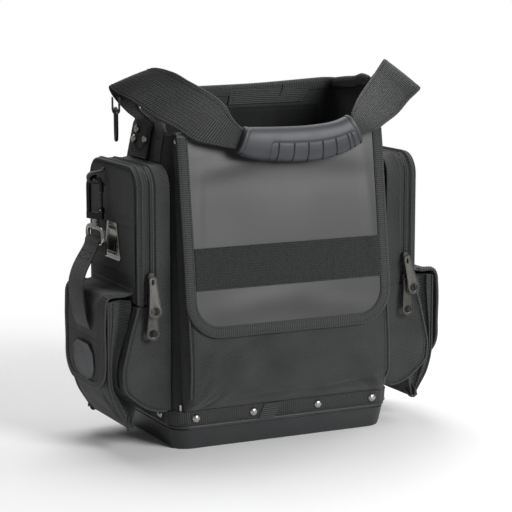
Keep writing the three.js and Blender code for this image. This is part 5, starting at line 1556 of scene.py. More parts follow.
@dataclass
class SidePocket(SidePart):
    """Zipped pocket on one side wall, with the wider compartment under it."""

    front: float = -74.0
    back: float = 80.0
    top: float = 350.0
    radius: float = 28.0
    wall: float = 150.3
    gusset: float = 168.0
    zip_from: float = 168.3
    zip_to: float = 184.7

    # Height and how far the lower compartment stands out
    LOWER = (
        (51.1, 169.0), (53.5, 176), (57, 185.0), (62, 191.5), (70, 202), (80, 211.0), (88, 213.2),
        (100, 213.8), (125, 209.0), (150, 202.5), (173, 195.6), (181, 193.6),
    )
    FOLDS = (
        Fold(-60, 190, 30, 6, 26, -1.2), Fold(30, 196, -12, 8, 30, 1.0), Fold(-40, 330, 0, 8, 40, -0.8),
        Fold(40, 300, 70, 10, 30, 0.8), Fold(-10, 262, 88, 12, 20, -0.6),
    )
    # Distance out and inset of the lid's wall, from its back round to its face
    LID = (
        (189.8, 27), (189.8, 4), (185.0, 2.0), (185.0, 0.1), (187.2, -0.2), (189.6, 0.0),
        (191.2, 0.7), (192.0, 2.2), (192.2, 5), (192.2, 27),
    )
    # Word, height, bail, distance out and lean of each slider, and its tab's swing by side
    SLIDERS = (
        ("upper", 216.0, 5.6, 3.2, 5.5, {Side.LEFT: -2.0, Side.RIGHT: 12.0}),
        ("lower", 188.352, 3.1, 1.4, 0.5, {Side.LEFT: 0.0, Side.RIGHT: 3.0}),
    )

    def outline(self, inset: float, bottom: float, count: int = 150) -> Array:
        """The pocket's arch in depth and height, evenly spaced, from the front foot over the top.

        Args:
            inset: How far to move the arch in.
            bottom: Height of its feet.
            count: How many points to return.

        Returns:
            The arch, count by 2.
        """
        y0, y1, z1 = self.front + inset, self.back - inset, self.top - inset
        come, left = round_corner(self.radius - inset, 16)
        first, last = np.column_stack([y0 + come, z1 - left]), np.column_stack([y1 - left, z1 - come])
        return resample(np.vstack([[y0, bottom], first, last, [y1, bottom]]), count)

    def layer(self, x: float, inset: float, bottom: float, count: int = 150) -> Array:
        """The arch at one distance from the middle of the tote."""
        return mesh_of(x, *self.outline(inset, bottom, count).T)

    def away(self, path: Array) -> Array:
        """Normals of a line on the arch, away from the pocket's middle.

        Args:
            path: The line's points.

        Returns:
            The normals, level beside the arch and upright on top of it.
        """
        span = path - [0.0, (self.front + self.back) / 2, 300.0]
        out = np.column_stack([0 * span[:, 0], span[:, 1], np.maximum(span[:, 2] - 20, 0)])
        near = np.abs(np.abs(span[:, 1]) - (self.back - self.front) / 2) < 6
        out[near, 2] = 0
        out[span[:, 2] > self.top - 300 - 6, 1] = 0
        return unit(out)

    def build(self) -> None:
        """Gusset and compartment, zipper, lid, and their seams."""
        self.build_compartment()
        self.build_compartment_cord()
        self.build_zipper()
        self.build_lid()
        self.build_sliders()

    def build_compartment(self) -> None:
        """Gusset arch, and the lower compartment with its roof and floor."""
        x = np.linspace(self.wall + 0.2, self.gusset, 12)
        bow = 1.0 + 1.3 * np.sin(np.pi * (x - self.wall) / (self.gusset - self.wall))
        arch = np.stack([self.layer(a, b, SEAM_HEIGHT - 2) for a, b in zip(x, bow)])
        z = np.concatenate([np.linspace(51.1, 66, 16), np.linspace(68.5, 181, 60)])
        out = monotone(z, self.LOWER, 1) - 1
        plan = pouch_ring(z, self.wall + 0.2 + 0 * z, out, 76.0, 6)
        relief = 0.6 * ripple(plan[..., 0], plan[..., 2], 50, 31)
        plan[..., 1] += relief * (plan[..., 1] < out[:, None] - 5)
        lower = np.stack([plan[..., 1], -plan[..., 0] + 3.0, plan[..., 2]], axis=-1)
        lower[..., 1] += self.press(lower) * (np.abs(lower[..., 1] - 3) > 70) * np.sign(3 - lower[..., 1])
        u, v = np.linspace(0, 1, 10)[None, :], np.linspace(-72.5, 78.5, 40)[:, None]
        roof = mesh_of(self.gusset - 3 + (LID_FACE_X - 2 - self.gusset) * u, v, 180.6)
        floor = mesh_of(self.wall + 0.6 + 17 * u, v, 51.2)
        patches = [slab(arch, 1.8), slab(lower, 1.8), slab(roof, 1.4), slab(floor, 1.4)]
        self.put("side_compartment", patches, self.finish.twill, "side_pocket_{}")

    def press(self, grid: Array) -> Array:
        """How far the compartment's front and back panels sink between their seams."""
        share, z = np.clip((grid[..., 0] - self.wall) / 50, 0, 1), grid[..., 2]
        return 1.6 * np.sin(np.pi * share) ** 2 * np.clip((z - 50) / 20, 0, 1) * np.clip((182 - z) / 20, 0, 1)

    def build_compartment_cord(self) -> None:
        """Cord round the compartment's front and back panels, and stitches inside it."""
        z = np.concatenate([np.linspace(51.5, 66, 14), np.linspace(68.5, 181, 50)])
        out = monotone(z, self.LOWER, 1)
        cords, rows = [], []
        for y, way in ((self.front, -1.0), (self.back, 1.0)):
            path = mesh_of(out - 1.2, y + way * 0.1, z)
            foot = np.array([[self.wall + 6, y + way * 0.1, 50.9], [self.wall + 12, y, 50.8]])
            cords.append(cord(smooth_path(np.vstack([foot, path[::3]]), 90), 1.5, TO_BACK))
            inner = mesh_of(out - 6.0, y, z)[12:]
            inner[:, 1] -= way * (self.press(inner) - 0.1)
            rows.append(stitches(inner, (0, way, 0)))
        seam = self.layer(self.gusset - 2.4, 1.2, SEAM_HEIGHT, 200)
        rows.append(stitches(seam, self.away(seam)))
        self.trim("compartment_cords", cords)
        self.sew("compartment_stitches", rows)

    def build_zipper(self) -> None:
        """Two woven tapes, each sewn down with two rows, and the coil between them."""
        low, high, middle = self.zip_from, self.zip_to, (self.zip_from + self.zip_to) / 2
        foot = SEAM_HEIGHT + 1
        tapes = []
        for ends in ((low, middle - 1.0), (middle + 1.0, high)):
            tapes.append(slab(np.stack([self.layer(x, 2.0, foot, 180) for x in np.linspace(*ends, 6)]), 1.1))
        self.put("zipper_tapes", tapes, self.finish.tape, "side_zipper_{}", sharp=70)
        coils = []
        for shift in (-1.25, 1.25):
            at = resample(self.layer(middle, 2.9, foot, 260) + [shift, 0, 0], 240)
            out = self.away(at)
            coils.append(beads(at + out * 1.3, np.broadcast_to(TO_RIGHT, at.shape), out, 2.9, 1.5, COIL_BEAD))
        self.put("zipper_coil", coils, self.finish.coil, slot="nylon")
        paths = [self.layer(x, 1.4, foot, 200) for x in (low + 1.4, low + 4.4, high - 4.4, high - 1.4)]
        self.sew("zipper_stitches", [stitches(path, self.away(path)) for path in paths])
        cords = [cord(self.layer(x, 0.9, foot, 160), 1.1, TO_RIGHT) for x in (low - 0.2, high + 0.3)]
        self.put("zipper_edge_cords", cords, self.finish.nylon, slot="nylon")

    def lid_ring(self, x: float, inset: float) -> Array:
        """The lid's whole outline, closed along its foot."""
        arch = self.outline(inset, SEAM_HEIGHT + 0.4 + inset)
        return mesh_of(x, *np.vstack([arch, np.linspace(arch[-1], arch[0], 32)[1:-1]]).T)

    def build_lid(self) -> None:
        """Shallow lid with two corded seams, a slip pocket on its face and a cross seam."""
        lid = loft(np.stack([self.lid_ring(x, inset) for x, inset in self.LID]))
        z = np.linspace(185.5, 344, 100)
        drop = np.clip((z - (self.top - 6 - 22)) / 22, 0, 1)
        half = 71.0 - 22 * (1 - np.sqrt(np.clip(1 - drop**2, 0, 1)))
        y = 3.0 + half[:, None] * np.linspace(-1, 1, 70)[None, :]
        z = np.broadcast_to(z[:, None], y.shape)
        lower = 1 / (1 + np.exp((z - 277) / 0.5))
        groove = np.exp(-(((z - 215) / 1.2) ** 2)) + 0.7 * np.exp(-(((z - 284) / 1.6) ** 2))
        x = 192.6 + 0.8 * lower - 0.9 * groove + 0.35 * (folded(y, z, self.FOLDS) + ripple(y, z, 50, 41))
        face = slab(np.stack([x, y, z], axis=-1), 1.0)
        self.put("side_lid", [lid, face], self.finish.nylon, "side_lid_{}")
        rows = []
        for x, inset in ((188.0, -0.2), (193.2, 7.5)):
            path = self.layer(x, inset, SEAM_HEIGHT + 8, 200)
            rows.append(stitches(path, self.away(path) if inset < 2 else TO_RIGHT))
        for height in (274.5, 212.5):
            rows.append(stitches(np.linspace([194.0, -62, height], [194.0, 68, height], 90), TO_RIGHT))
        seams = [self.layer(x, inset, SEAM_HEIGHT + 2, 170) for x, inset in ((191.8, 1.4), (186.2, -0.1))]
        self.trim("lid_cords", [cord(seam, 1.25, TO_RIGHT) for seam in seams])
        self.sew("lid_stitches", rows)

    def build_sliders(self) -> None:
        """Two cast sliders with their bails and long pull tabs, hung at the front."""
        x, y = (self.zip_from + self.zip_to) / 2, self.front + 1 - 1.4 - 0.3
        for word, z, bail, out, lean, swing in self.SLIDERS:
            body = slider_body(bail).moved((x, y, z))
            self.put(f"zip_slider_{word}", body, self.finish.pull, f"zipper_slider_{{}}_{word}", sharp=35)
            tab = pull_tab(lean, swing[self.side]).moved((x, y - 5 - out, z - 3.5))
            self.put(f"zip_pull_{word}", tab, self.finish.pull, f"pull_tab_{{}}_{word}", sharp=35)


def slider_body(bail: float) -> Patch:
    """Cast slider: a waisted plate with a rounded back and an arched bail, facing -Y.

    Args:
        bail: How far the bail stands off the plate.

    Returns:
        The plate and the bail, with the plate's middle at the origin.
    """
    z = np.linspace(-7, 7, 24)
    half = 4.5 * (0.62 + 0.38 * np.clip((7 - np.abs(z)) / 3.5, 0, 1) ** 0.5)
    half = half * (1 - 0.16 * np.exp(-(((z + 1) / 2.4) ** 2)))
    turn = np.linspace(0, TAU, 20, endpoint=False)
    square, lift = (np.abs(a) ** 0.5 * np.sign(a) for a in (np.cos(turn), np.sin(turn)))
    rings = mesh_of(half[:, None] * square[None], -2.3 + 2.4 * lift[None], z[:, None])
    tip = -5 - bail
    arch = [(-4.2, -1.2), (tip + 1.2, -1.6), (tip, -3.2), (tip + 1.0, -5.4), (-4.2, -6.6)]
    path = smooth_path(np.array([(0, y, z) for y, z in arch]), 24)
    return join([loft(rings), cord(path, 1.25, TO_RIGHT)])


# Outline of a pull tab's upper end, then inset from its edge, share of the way to its hole and
# depth, round the section of its plate
TAB_HEAD = (
    (-5.6, -10), (-5.0, 0), (-4.6, 4.2), (-3.4, 5.8), (0, 6.2), (3.4, 5.8), (4.6, 4.2), (5.0, 0), (5.6, -10),
)
TAB_SECTION = (
    (0.0, 0, -0.6), (0.0, 0, 0.7), (0.35, 0, 1.1), (0.95, 0, 1.1), (1.35, 0, 0.55), (1.35, 0.6, 0.55),
    (1.35, 0.8, 0.8), (1.35, 1, 0.6), (1.35, 1, -0.6), (1.35, 0.6, -0.55), (1.35, 0, -0.55),
    (0.95, 0, -1.1), (0.35, 0, -1.0),
)


def pull_tab(lean: float, swing: float) -> Patch:
    """Long pull tab: a flared plate with a raised rim and a round hole near its foot.

    Args:
        lean: Degrees that the tab's foot hangs away from the pocket.
        swing: Degrees that the tab's foot hangs away from the tote's middle.

    Returns:
        The tab with its upper end near the origin.
    """
    centre, half, hole_radius = np.array([0.0, -35.5]), 8.5, 5.0
    bend = np.linspace(-0.35, math.pi + 0.35, 28)
    foot = centre + half * np.column_stack([np.cos(bend), -np.sin(bend)])
    corners = np.vstack([foot, TAB_HEAD, foot[:1]])
    loop = smooth_path(corners, 121)[:-1]
    way = unit(np.roll(loop, -1, axis=0) - np.roll(loop, 1, axis=0))
    inward = np.column_stack([-way[:, 1], way[:, 0]])
    inward *= np.sign(((centre - loop) * inward).sum(axis=1).mean())
    hole = centre + hole_radius * unit(loop - centre)
    rings = []
    for inset, share, depth in TAB_SECTION:
        edge = loop + inward * inset
        x, z = (edge + (hole - edge) * share).T
        rings.append(mesh_of(x, -depth, z))
    patch = loft(np.stack(rings), closed=True)
    a, b = math.radians(lean), math.radians(swing)
    turn = np.array([[1, 0, 0], [0, math.cos(a), math.sin(a)], [0, -math.sin(a), math.cos(a)]])
    aside = np.array([[math.cos(b), 0, -math.sin(b)], [0, 1, 0], [math.sin(b), 0, math.cos(b)]])
    return Patch(patch.points @ turn.T @ aside.T, patch.faces, patch.flat)


# ---- the outer pockets with their covers


@dataclass
class BoundFlap:
    """A hanging flap with rounded lower corners and a tape folded over its edge."""

    surface: Callable[[Array, Array, Array | float], Array]
    half: float
    length: float
    corner: float

    def cloth(self) -> Array:
        """Grid of the flap's middle surface."""
        straight = np.linspace(0, self.length - self.corner, 70)[:-1]
        s = np.concatenate([straight, self.length - round_corner(self.corner, 14)[1]])
        drop = np.clip((s - self.length + self.corner) / self.corner, 0, 1)
        half = self.half - self.corner * (1 - np.sqrt(np.clip(1 - drop**2, 0, 1)))
        u = half[:, None] * np.linspace(-1, 1, 70)[None]
        return self.surface(u, np.broadcast_to(s[:, None], u.shape), 0.0)

    def edge(self, start: float) -> tuple[Array, Array]:
        """Places on the edge from one side round to the other, and the way in from each."""
        return Hem(self.half, start, self.length, self.corner, (60, 18, 40)).line()

    def binding(self, start: float, width: float) -> Patch:
        """Tape folded over the edge.

        Args:
            start: How far down the flap the tape starts.
            width: How far the tape reaches in.

        Returns:
            The closed surface.
        """
        place, inward = self.edge(start)
        section = np.array([
            (0.4, -1.9), (-1.0, -1.6), (-1.5, 0.0), (-1.0, 1.6), (0.6, 2.1), (width * 0.5, 2.2),
            (width - 0.8, 2.1), (width, 1.6), (width, 0.6), (0.4, 0.4),
        ])
        at = place[:, None] + inward[:, None] * section[None, :, :1]
        lift = np.broadcast_to(section[None, :, 1], at.shape[:2])
        return loft(self.surface(at[..., 0], at[..., 1], lift))

    def seam(self, u: Array, s: Array, lift: float) -> Patch:
        """A row of stitches along places on the flap, lifted off its middle."""
        line = self.surface(u, s, lift)
        return stitches(line, unit(self.surface(u, s, lift + 1.0) - line))


@dataclass
class OuterPocket(SidePart):
    """Open bellows pocket on one side, with its bound cover."""

    half: float = 62.0
    cover_half: float = 65.0
    cover_corner: float = 35.0

    # Height and how far the face and the back stand out
    OUTER = (
        (28, 198.2), (33, 202.6), (42.4, 209.0), (63.2, 220.8), (85, 226.4), (100, 227.6), (188, 227.4),
    )
    INNER = (
        (28, 196.8), (42, 194.6), (60.1, 192.4), (85.5, 214.9), (100.1, 215.6), (173.8, 197.0), (188, 195.8),
    )
    # Distance out and height of the cover, from its seam down to its hem
    COVER = (
        (195.4, 202.0), (196.6, 197.6), (201, 195.8), (211, 195.2), (221, 194.6), (227.6, 192.6),
        (231.2, 186.5), (232.0, 178), (232.3, 160), (232.3, 140), (232.3, 110), (232.3, 78),
    )
    FOLDS = (
        Fold(-52, 52, 50, 5, 24, -3.0), Fold(-46, 42, 30, 4, 24, 2.4), Fold(40, 60, -40, 8, 30, 1.6),
        Fold(-30, 60, 10, 6, 34, 1.4), Fold(-40, 120, 84, 8, 40, 1.0), Fold(20, 50, 4, 5, 30, -1.2),
    )
    COVER_FOLDS = (
        Fold(-48, 42, 34, 7, 30, 1.8), Fold(46, 40, -30, 8, 30, 1.5), Fold(-6, 50, 4, 12, 40, -1.2),
        Fold(-40, 90, 80, 9, 50, 1.1), Fold(30, 82, -70, 10, 50, -0.8), Fold(10, 130, 8, 12, 40, 0.6),
    )
    CORNER_FOLD = (
        (199, 55.0, 46), (203, 61.5, 38), (202, 64.5, 31), (199, 62.5, 27.5), (196.5, 57, 30), (196, 52, 36),
    )
    # Half width and distance down the cover of its cross seams
    CROSS_SEAMS = ((60, 3.0), (60, 7.0), (55, 92.0))

    def spine(self) -> tuple[Array, Array]:
        """The cover's section and the lengths along it."""
        path = smooth_path([(x, 0, z) for x, z in self.COVER], 160)
        return path, arc_length(path)

    def surface(self, u: Array, s: Array, lift: float | Array = 0.0) -> Array:
        """The cover: its section carried across the pocket and lifted by its folds.

        Args:
            u: Places across the cover.
            s: Places down it.
            lift: How far to move off its middle.

        Returns:
            The points.
        """
        path, length = self.spine()
        share = np.clip(s, 0, length[-1])
        at = read_along(share, length, path)
        way = unit(np.gradient(path, axis=0))
        out = read_along(share, length, mesh_of(-way[:, 2], 0.0, way[:, 0]))
        away = np.clip((s - 10) / 25, 0, 1)
        rise = away * (folded(u, s, self.COVER_FOLDS) + 0.8 * ripple(u, s, 60, 51)) + lift
        return np.stack([at[..., 0], u + 0 * s, at[..., 2]], axis=-1) + out * np.asarray(rise)[..., None]

    def build(self) -> None:
        """Pocket with folded sides, its corded edges, cover and binding."""
        z = np.concatenate([np.linspace(29, 46, 16), np.linspace(49, 188, 70)])
        outer, inner = monotone(z, self.OUTER, 1), monotone(z, self.INNER, 1)
        plan = pouch_ring(z, inner + 0.9, outer - 1, self.half - 1, 3.5)
        depth = (outer - inner)[:, None]
        share = np.clip((plan[..., 1] - inner[:, None]) / depth, 0, 1)
        on_side = np.clip((np.abs(plan[..., 0]) - self.half + 3) / 2, 0, 1)
        tuck = on_side * np.sin(np.pi * np.clip(share * 1.15, 0, 1)) ** 2
        plan[..., 0] -= np.sign(plan[..., 0]) * tuck * np.clip(depth / 3, 0, 9.5)
        y, high = -plan[..., 0], plan[..., 2]
        swell = np.clip((self.half - np.abs(y)) / 14, 0, 1) * (share > 0.7)
        x = plan[..., 1] + swell * (0.8 * folded(y, high, self.FOLDS) + 0.5 * ripple(y, high, 40, 61))
        v = np.linspace(-1, 1, 30)[None] * (self.half - 2)
        panel = slab(mesh_of(inner[:, None] + 0.9, v, z[:, None]), 1.4)
        walls = slab(np.stack([x, y, high], axis=-1), 1.8)
        self.put("outer_pouch", [walls, panel], self.finish.twill, "outer_pocket_{}")
        self.build_cords()
        self.build_corner_folds()
        self.build_cover()

    def build_cords(self) -> None:
        """Cords down both upright edges and along the foot, with stitches on the face."""
        z = np.concatenate([np.linspace(30, 46, 10), np.linspace(50, 187, 50)])
        outer, inner = monotone(z, self.OUTER, 1), monotone(z, self.INNER, 1)
        back = np.minimum(outer - 3.8, inner + 0.72 * (outer - inner))
        cords, rows = [], []
        for way in (-1.0, 1.0):
            y = way * (self.half - 0.4)
            for x, move, first, radius in (
                (outer - 0.6, 0.0, 0, 1.5), (back, 0.6, 6, 1.3), (inner + 0.6, 0.8, 8, 1.2),
            ):
                cords.append(cord(mesh_of(x, y - way * move, z)[first:], radius, TO_BACK))
            rows.append(stitches(mesh_of(outer + 0.1, y - way * 5, z)[8:], TO_RIGHT))
        foot = mesh_of(198.0, np.linspace(-self.half + 1, self.half - 1, 60), 29.4)
        self.trim("outer_pouch_cords", [*cords, cord(foot, 1.5, UPRIGHT)])
        self.sew("outer_pouch_stitches", rows)

    def build_corner_folds(self) -> None:
        """Loops of spare cloth that stick out of the pouch's lower corners."""
        loops = []
        for way in (-1.0, 1.0):
            path = smooth_path(np.array(self.CORNER_FOLD) * [1, way, 1], 30)
            across = unit(np.cross(unit(np.gradient(path, axis=0)), [0.35, 0, 0.94]))
            grid = path[:, None] + across[:, None] * np.linspace(-4.5, 4.5, 6)[None, :, None] * 0.6
            loops.append(slab(grid + np.array([0.5, 0, 0]) * np.linspace(-1, 1, 6)[None, :, None], 1.6))
        self.put("pouch_corner_folds", loops, self.finish.nylon, slot="nylon")

    def build_cover(self) -> None:
        """Cover with its binding, and the stitches that hold it."""
        length = float(self.spine()[1][-1])
        flap = BoundFlap(self.surface, self.cover_half, length, self.cover_corner)
        cover = self.put("outer_cover", slab(flap.cloth(), FABRIC), self.finish.nylon, "outer_flap_{}")
        self.trim("outer_cover_binding", flap.binding(14.0, 9.0), sharp=70)
        place, inward = flap.edge(16.0)
        rows = [flap.seam(*(place + inward * inset).T, 2.2) for inset in (2.0, 7.4)]
        rows += [flap.seam(np.linspace(-half, half, 80), np.full(80, s), 1.1) for half, s in self.CROSS_SEAMS]
        self.sew("outer_cover_stitches", rows)


@dataclass
class Badge(Part):
    """Plain moulded badge with cut corners and a raised rim, on the left cover."""

    half_y: float = 38.0
    half_z: float = 22.5
    height: float = 108.0

    # Corners as shares of the half sizes, then share of the outline and distance out, by ring
    CORNERS = (
        (-1, -0.2), (-0.82, -0.75), (-0.35, -1), (0.35, -1), (0.82, -0.75), (1, -0.2),
        (0.9, 0.55), (0.5, 1), (-0.5, 1), (-0.9, 0.55), (-1, -0.2),
    )
    RINGS = (
        (0.97, 233.7), (1.0, 234.2), (1.0, 235.6), (0.985, 236.3), (0.965, 236.5), (0.94, 236.3),
        (0.92, 235.7), (0.88, 235.6), (0.45, 235.9), (0.1, 236.0),
    )

    def build(self) -> None:
        """A rounded outline lofted over the rings."""
        dense = resample(np.array(self.CORNERS) * [self.half_y, self.half_z], 241)[:-1]
        for _ in range(3):
            dense = (np.roll(dense, 1, axis=0) + 2 * dense + np.roll(dense, -1, axis=0)) / 4
        rings = [mesh_of(-out, *(dense * share + [0, self.height]).T) for share, out in self.RINGS]
        self.put("flap_badge", loft(np.stack(rings)), self.finish.badge, "flap_badge", sharp=40)


# ---- clip, hook, hanging strap and rings


def rod_ring(points: Sequence[Sequence[float]], radius: float, hint: Sequence[float], count: int) -> Patch:
    """A closed metal rod whose corners are rounded by a smooth path.

    Args:
        points: Control points, once round.
        radius: The rod's radius.
        hint: A direction square to the ring.
        count: Places along the rod.

    Returns:
        The closed surface.
    """
    control = np.asarray(points, dtype=float)
    path = smooth_path(np.vstack([control[-2:], control, control[:3]]), count * 3)
    distance = np.linalg.norm(path - control[0], axis=1)
    middle = len(path) // 2
    first, last = int(np.argmin(distance[:middle])), middle + int(np.argmin(distance[middle:]))
    ring = resample(path[first : last + 1], count + 1)[:-1]
    return cord(ring, radius, hint, sides=18, closed=True)


def ribbon(path: Array, across: Array, half: float, count: int) -> Array:
    """Grid of a flat strip that follows a path, count points wide."""
    return path[:, None] + across * np.linspace(-half, half, count)[None, :, None]


@dataclass
class TapeClip(Part):
    """Spring-steel tape clip: a tapering plate, ribbed across its foot, with a round hole."""

    hole_radius: float = 3.5
    sides: int = 96

    HOLE = (-13.0, 241.8)
    CORNERS = (
        (-15.0, 276.3), (-26.0, 232.3), (-23.0, 230.3), (23.0, 230.3), (26.0, 232.3), (15.0, 276.3),
        (-15.0, 276.3),
    )
    # Share of the way from the hole to the edge, and distance out, round the plate's section
    RINGS = (
        (0.0, 194.35), (0.0, 195.75), (0.04, 195.85), (0.5, 195.8), (0.97, 195.85), (1.0, 195.6),
        (1.0, 194.5), (0.97, 194.35), (0.5, 194.35),
    )
    # Height and half length of each rib
    RIBS = ((233.2, 22.0), (236.4, 22.0), (239.6, 22.0), (271.8, 14.0))

    def build(self) -> None:
        """Rings from the hole out to the nearest direction of the edge, and ribs on top."""
        hole, ring = np.array(self.HOLE), self.HOLE + circle(self.hole_radius, self.sides)
        turn = np.arange(self.sides) * TAU / self.sides
        outline = resample(np.array(self.CORNERS), 400)
        span = outline[None] - hole
        angle = np.arctan2(span[..., 1], span[..., 0])
        near = np.abs(np.angle(np.exp(1j * (angle - turn[:, None]))))
        edge = outline[np.argmin(near, axis=1)]
        rings = []
        for share, out in self.RINGS:
            y, z = (ring + (edge - ring) * share).T
            bead = 0.45 * np.exp(-(((z - 236.5) / 1.4) ** 2)) + 0.3 * np.exp(-(((z - 272.5) / 1.3) ** 2))
            rings.append(np.column_stack([-(out + np.where(out > 195.7, bead, 0)), y, z]))
        ribs = []
        for z, half in self.RIBS:
            y = np.linspace(-half, half, 40)
            clear = y[(np.abs(y - hole[0]) > 5) | (abs(z - hole[1]) > 4.5)]
            ribs.append(cord(mesh_of(-195.7, clear, z), 0.55, TO_RIGHT))
        plate = loft(np.stack(rings), closed=True)
        self.put("tape_clip_plate", [plate, *ribs], self.finish.steel, "tape_clip", sharp=30)


@dataclass
class SnapHook(Part):
    """Snap hook with its swivel and gate, the loop that keeps it and the strap that it carries."""

    strap_half: float = 23.0

    ORIGIN = np.array([-207.0, 25.5, 285.12])
    WAY = np.array([0.4512, -0.8924, 0.0])
    ACROSS = np.array([-0.8924, -0.4512, 0.0])
    # Height and radius of the swivel's barrel
    BARREL = (
        (-7, 3.4), (-7.6, 4.4), (-10, 4.5), (-10.8, 3.9), (-11.8, 3.9), (-12.6, 4.6), (-18.6, 4.6),
        (-20, 3.6),
    )
    # Depth and height of the eye, the keeper's distance out and height, and the strap's places
    EYE = (
        (25.5, 267.1), (38, 267.1), (48.5, 265.0), (51.5, 259), (49.5, 251.4), (43, 249.1),
        (25.5, 249.1), (8, 249.1), (1.5, 251.4), (-0.5, 259), (2.5, 265.0), (13, 267.1),
    )
    KEEPER = (
        (-195.3, 340.1), (-197.3, 337.1), (-202, 335.6), (-207, 335.1), (-212, 334.2), (-215, 331.4),
        (-215.6, 328.3), (-215, 325.2), (-212, 322.6), (-207, 321.6), (-202, 321.1), (-197.3, 320.6),
        (-195.3, 317.6),
    )
    STRAP = (
        (-237.2, -8.5, 151.2), (-240.6, -6.8, 162), (-242.2, -3.4, 177.1), (-242.6, 1, 190), (-241.2, 6.1, 202),
        (-234.4, 13, 216), (-225.7, 18.7, 228), (-217.2, 23.6, 238), (-212.6, 25.3, 245.5),
    )

    def place(self, s: Any, up: Any, across: Any = 0.0) -> Array:
        """Points by their place along the hook, their height and their depth."""
        s, up, across = (np.asarray(a, dtype=float)[..., None] for a in (s, up, across))
        return self.ORIGIN + np.array(UPRIGHT) * up + self.WAY * s + self.ACROSS * across

    def block(
        self, s: tuple[float, float], up: tuple[float, float], thick: float, middle: float = 0.0,
        round_by: float = 1.0,
    ) -> Patch:
        """A block with rounded edges in the hook's own directions.

        Args:
            s: Its ends along the hook.
            up: Its foot and top.
            thick: Its depth.
            middle: Where the middle of its depth lies.
            round_by: Corner radius.

        Returns:
            The closed surface.
        """
        half, at = (s[1] - s[0]) / 2, (s[0] + s[1]) / 2
        a, b = rounded_box(half, thick / 2, min(round_by, 0.45 * thick, half * 0.9), 5).T
        levels = ((up[0], 0.75), (up[0] + 0.4, 1.0), (up[1] - 0.4, 1.0), (up[1], 0.75))
        return loft(np.stack([self.place(at + a * k, z, middle + b * k) for z, k in levels]))

    def build(self) -> None:
        """Every piece of the hook."""
        self.build_frame()
        self.build_swivel()
        self.build_gate()
        self.build_keeper()
        self.build_strap()

    def build_frame(self) -> None:
        """Hook, its heel and the two cheeks that the gate turns between."""
        arc = np.linspace(np.pi, 0, 15)
        s = np.array([-10.5, -10.5, -10.5, *(10.5 * np.cos(arc)), 10.5, 10.5])
        up = np.array([-2, 6, 16.75, *(33.5 + 10.5 * np.sin(arc)), 29, 26.5])
        hook = cord(smooth_path(self.place(s, up), 70), 3.0, self.ACROSS, sides=20)
        heel = self.block((-13.4, 13.4), (-8, 1), 6.0, round_by=2.4)
        cheeks = [self.block((7.6, 13.4), (0, 7), 1.4, middle, 0.5) for middle in (2.2, -2.2)]
        self.put("snap_hook", [hook, heel, *cheeks], self.finish.black, "snap_body", sharp=35)

    def build_swivel(self) -> None:
        """Turned barrel with the eye that holds the strap."""
        a, b = circle(1.0, 24).T
        barrel = loft(np.stack([self.place(a * r, up, b * r) for up, r in self.BARREL]))
        eye = rod_ring([(self.ORIGIN[0], y, z) for y, z in self.EYE], 2.9, TO_RIGHT, 96)
        self.put("snap_swivel", [barrel, eye], self.finish.nickel, slot="nickel", sharp=35)

    def build_gate(self) -> None:
        """Sprung gate with its knuckle, and the pin that it turns on."""
        pin = cord(self.place(10.5, 4, np.linspace(-3.1, 3.1, 5)), 1.1, UPRIGHT, sides=14)
        self.put("snap_pin", pin, self.finish.nickel, slot="nickel", sharp=35)
        bar = self.block((8.6, 12.4), (5.4, 25.8), 2.2, round_by=0.9)
        knuckle = cord(self.place(10.5, 4, np.linspace(-1.0, 1.0, 4)), 2.55, UPRIGHT, sides=20)
        self.put("snap_gate_bar", [bar, knuckle], self.finish.black, "snap_gate", body="gate", sharp=35)

    def build_keeper(self) -> None:
        """Webbing loop on the lid that holds the hook."""
        path = smooth_path([(x, self.ORIGIN[1], z) for x, z in self.KEEPER], 60)
        loop = slab(ribbon(path, np.array(TO_BACK), 4, 8), WEBBING)
        self.put("keeper_loop", loop, self.finish.tape, "snap_keeper")
        lines = [np.linspace([-197.0, 22.3, z], [-197.0, 28.7, z], 8) for z in (338.8, 318.9)]
        self.sew("keeper_stitches", [stitches(line, (-1.0, 0, 0.1), pitch=2.2) for line in lines])

    def build_strap(self) -> None:
        """Hanging strap: a folded loop of webbing over the eye, sewn with a crossed box."""
        turn = np.linspace(0, np.pi, 9)
        over = mesh_of(-207 - 4.7 * np.cos(turn), 25.5, 249.12 + 4.7 * np.sin(turn))
        path = smooth_path([*self.STRAP, *over, (-202.4, 25.5, 243), (-202.4, 25.5, 235)], 150)
        count = len(path)
        u = np.linspace(-1, 1, 16)[None, :, None]
        out = unit(np.cross(unit(np.gradient(path, axis=0)), TO_BACK))
        wide = self.strap_half * (1 - 0.06 * np.exp(-(((np.arange(count) / count) - 0.75) / 0.1) ** 2))
        cup = 0.7 * (1 - u**2) * np.clip(np.arange(count) / 50, 0, 1)[:, None, None]
        grid = path[:, None] + np.array(TO_BACK) * u * wide[:, None, None] + out[:, None] * cup
        self.put("hang_webbing", slab(grid, WEBBING), self.finish.webbing, "hang_strap")
        a, b = int(0.62 * count), int(0.70 * count)
        lifted = grid + out[:, None]
        lines = (
            (lifted[a, 2:-2], out[a]), (lifted[b, 2:-2], out[b]),
            (lifted[a : b + 1, 2], out[a : b + 1]), (lifted[a : b + 1, -3], out[a : b + 1]),
            (np.linspace(lifted[a, 2], lifted[b, -3], 20), out[a]),
            (np.linspace(lifted[a, -3], lifted[b, 2], 20), out[a]),
        )
        self.sew("hang_strap_stitches", [stitches(line, normal, pitch=2.8) for line, normal in lines])


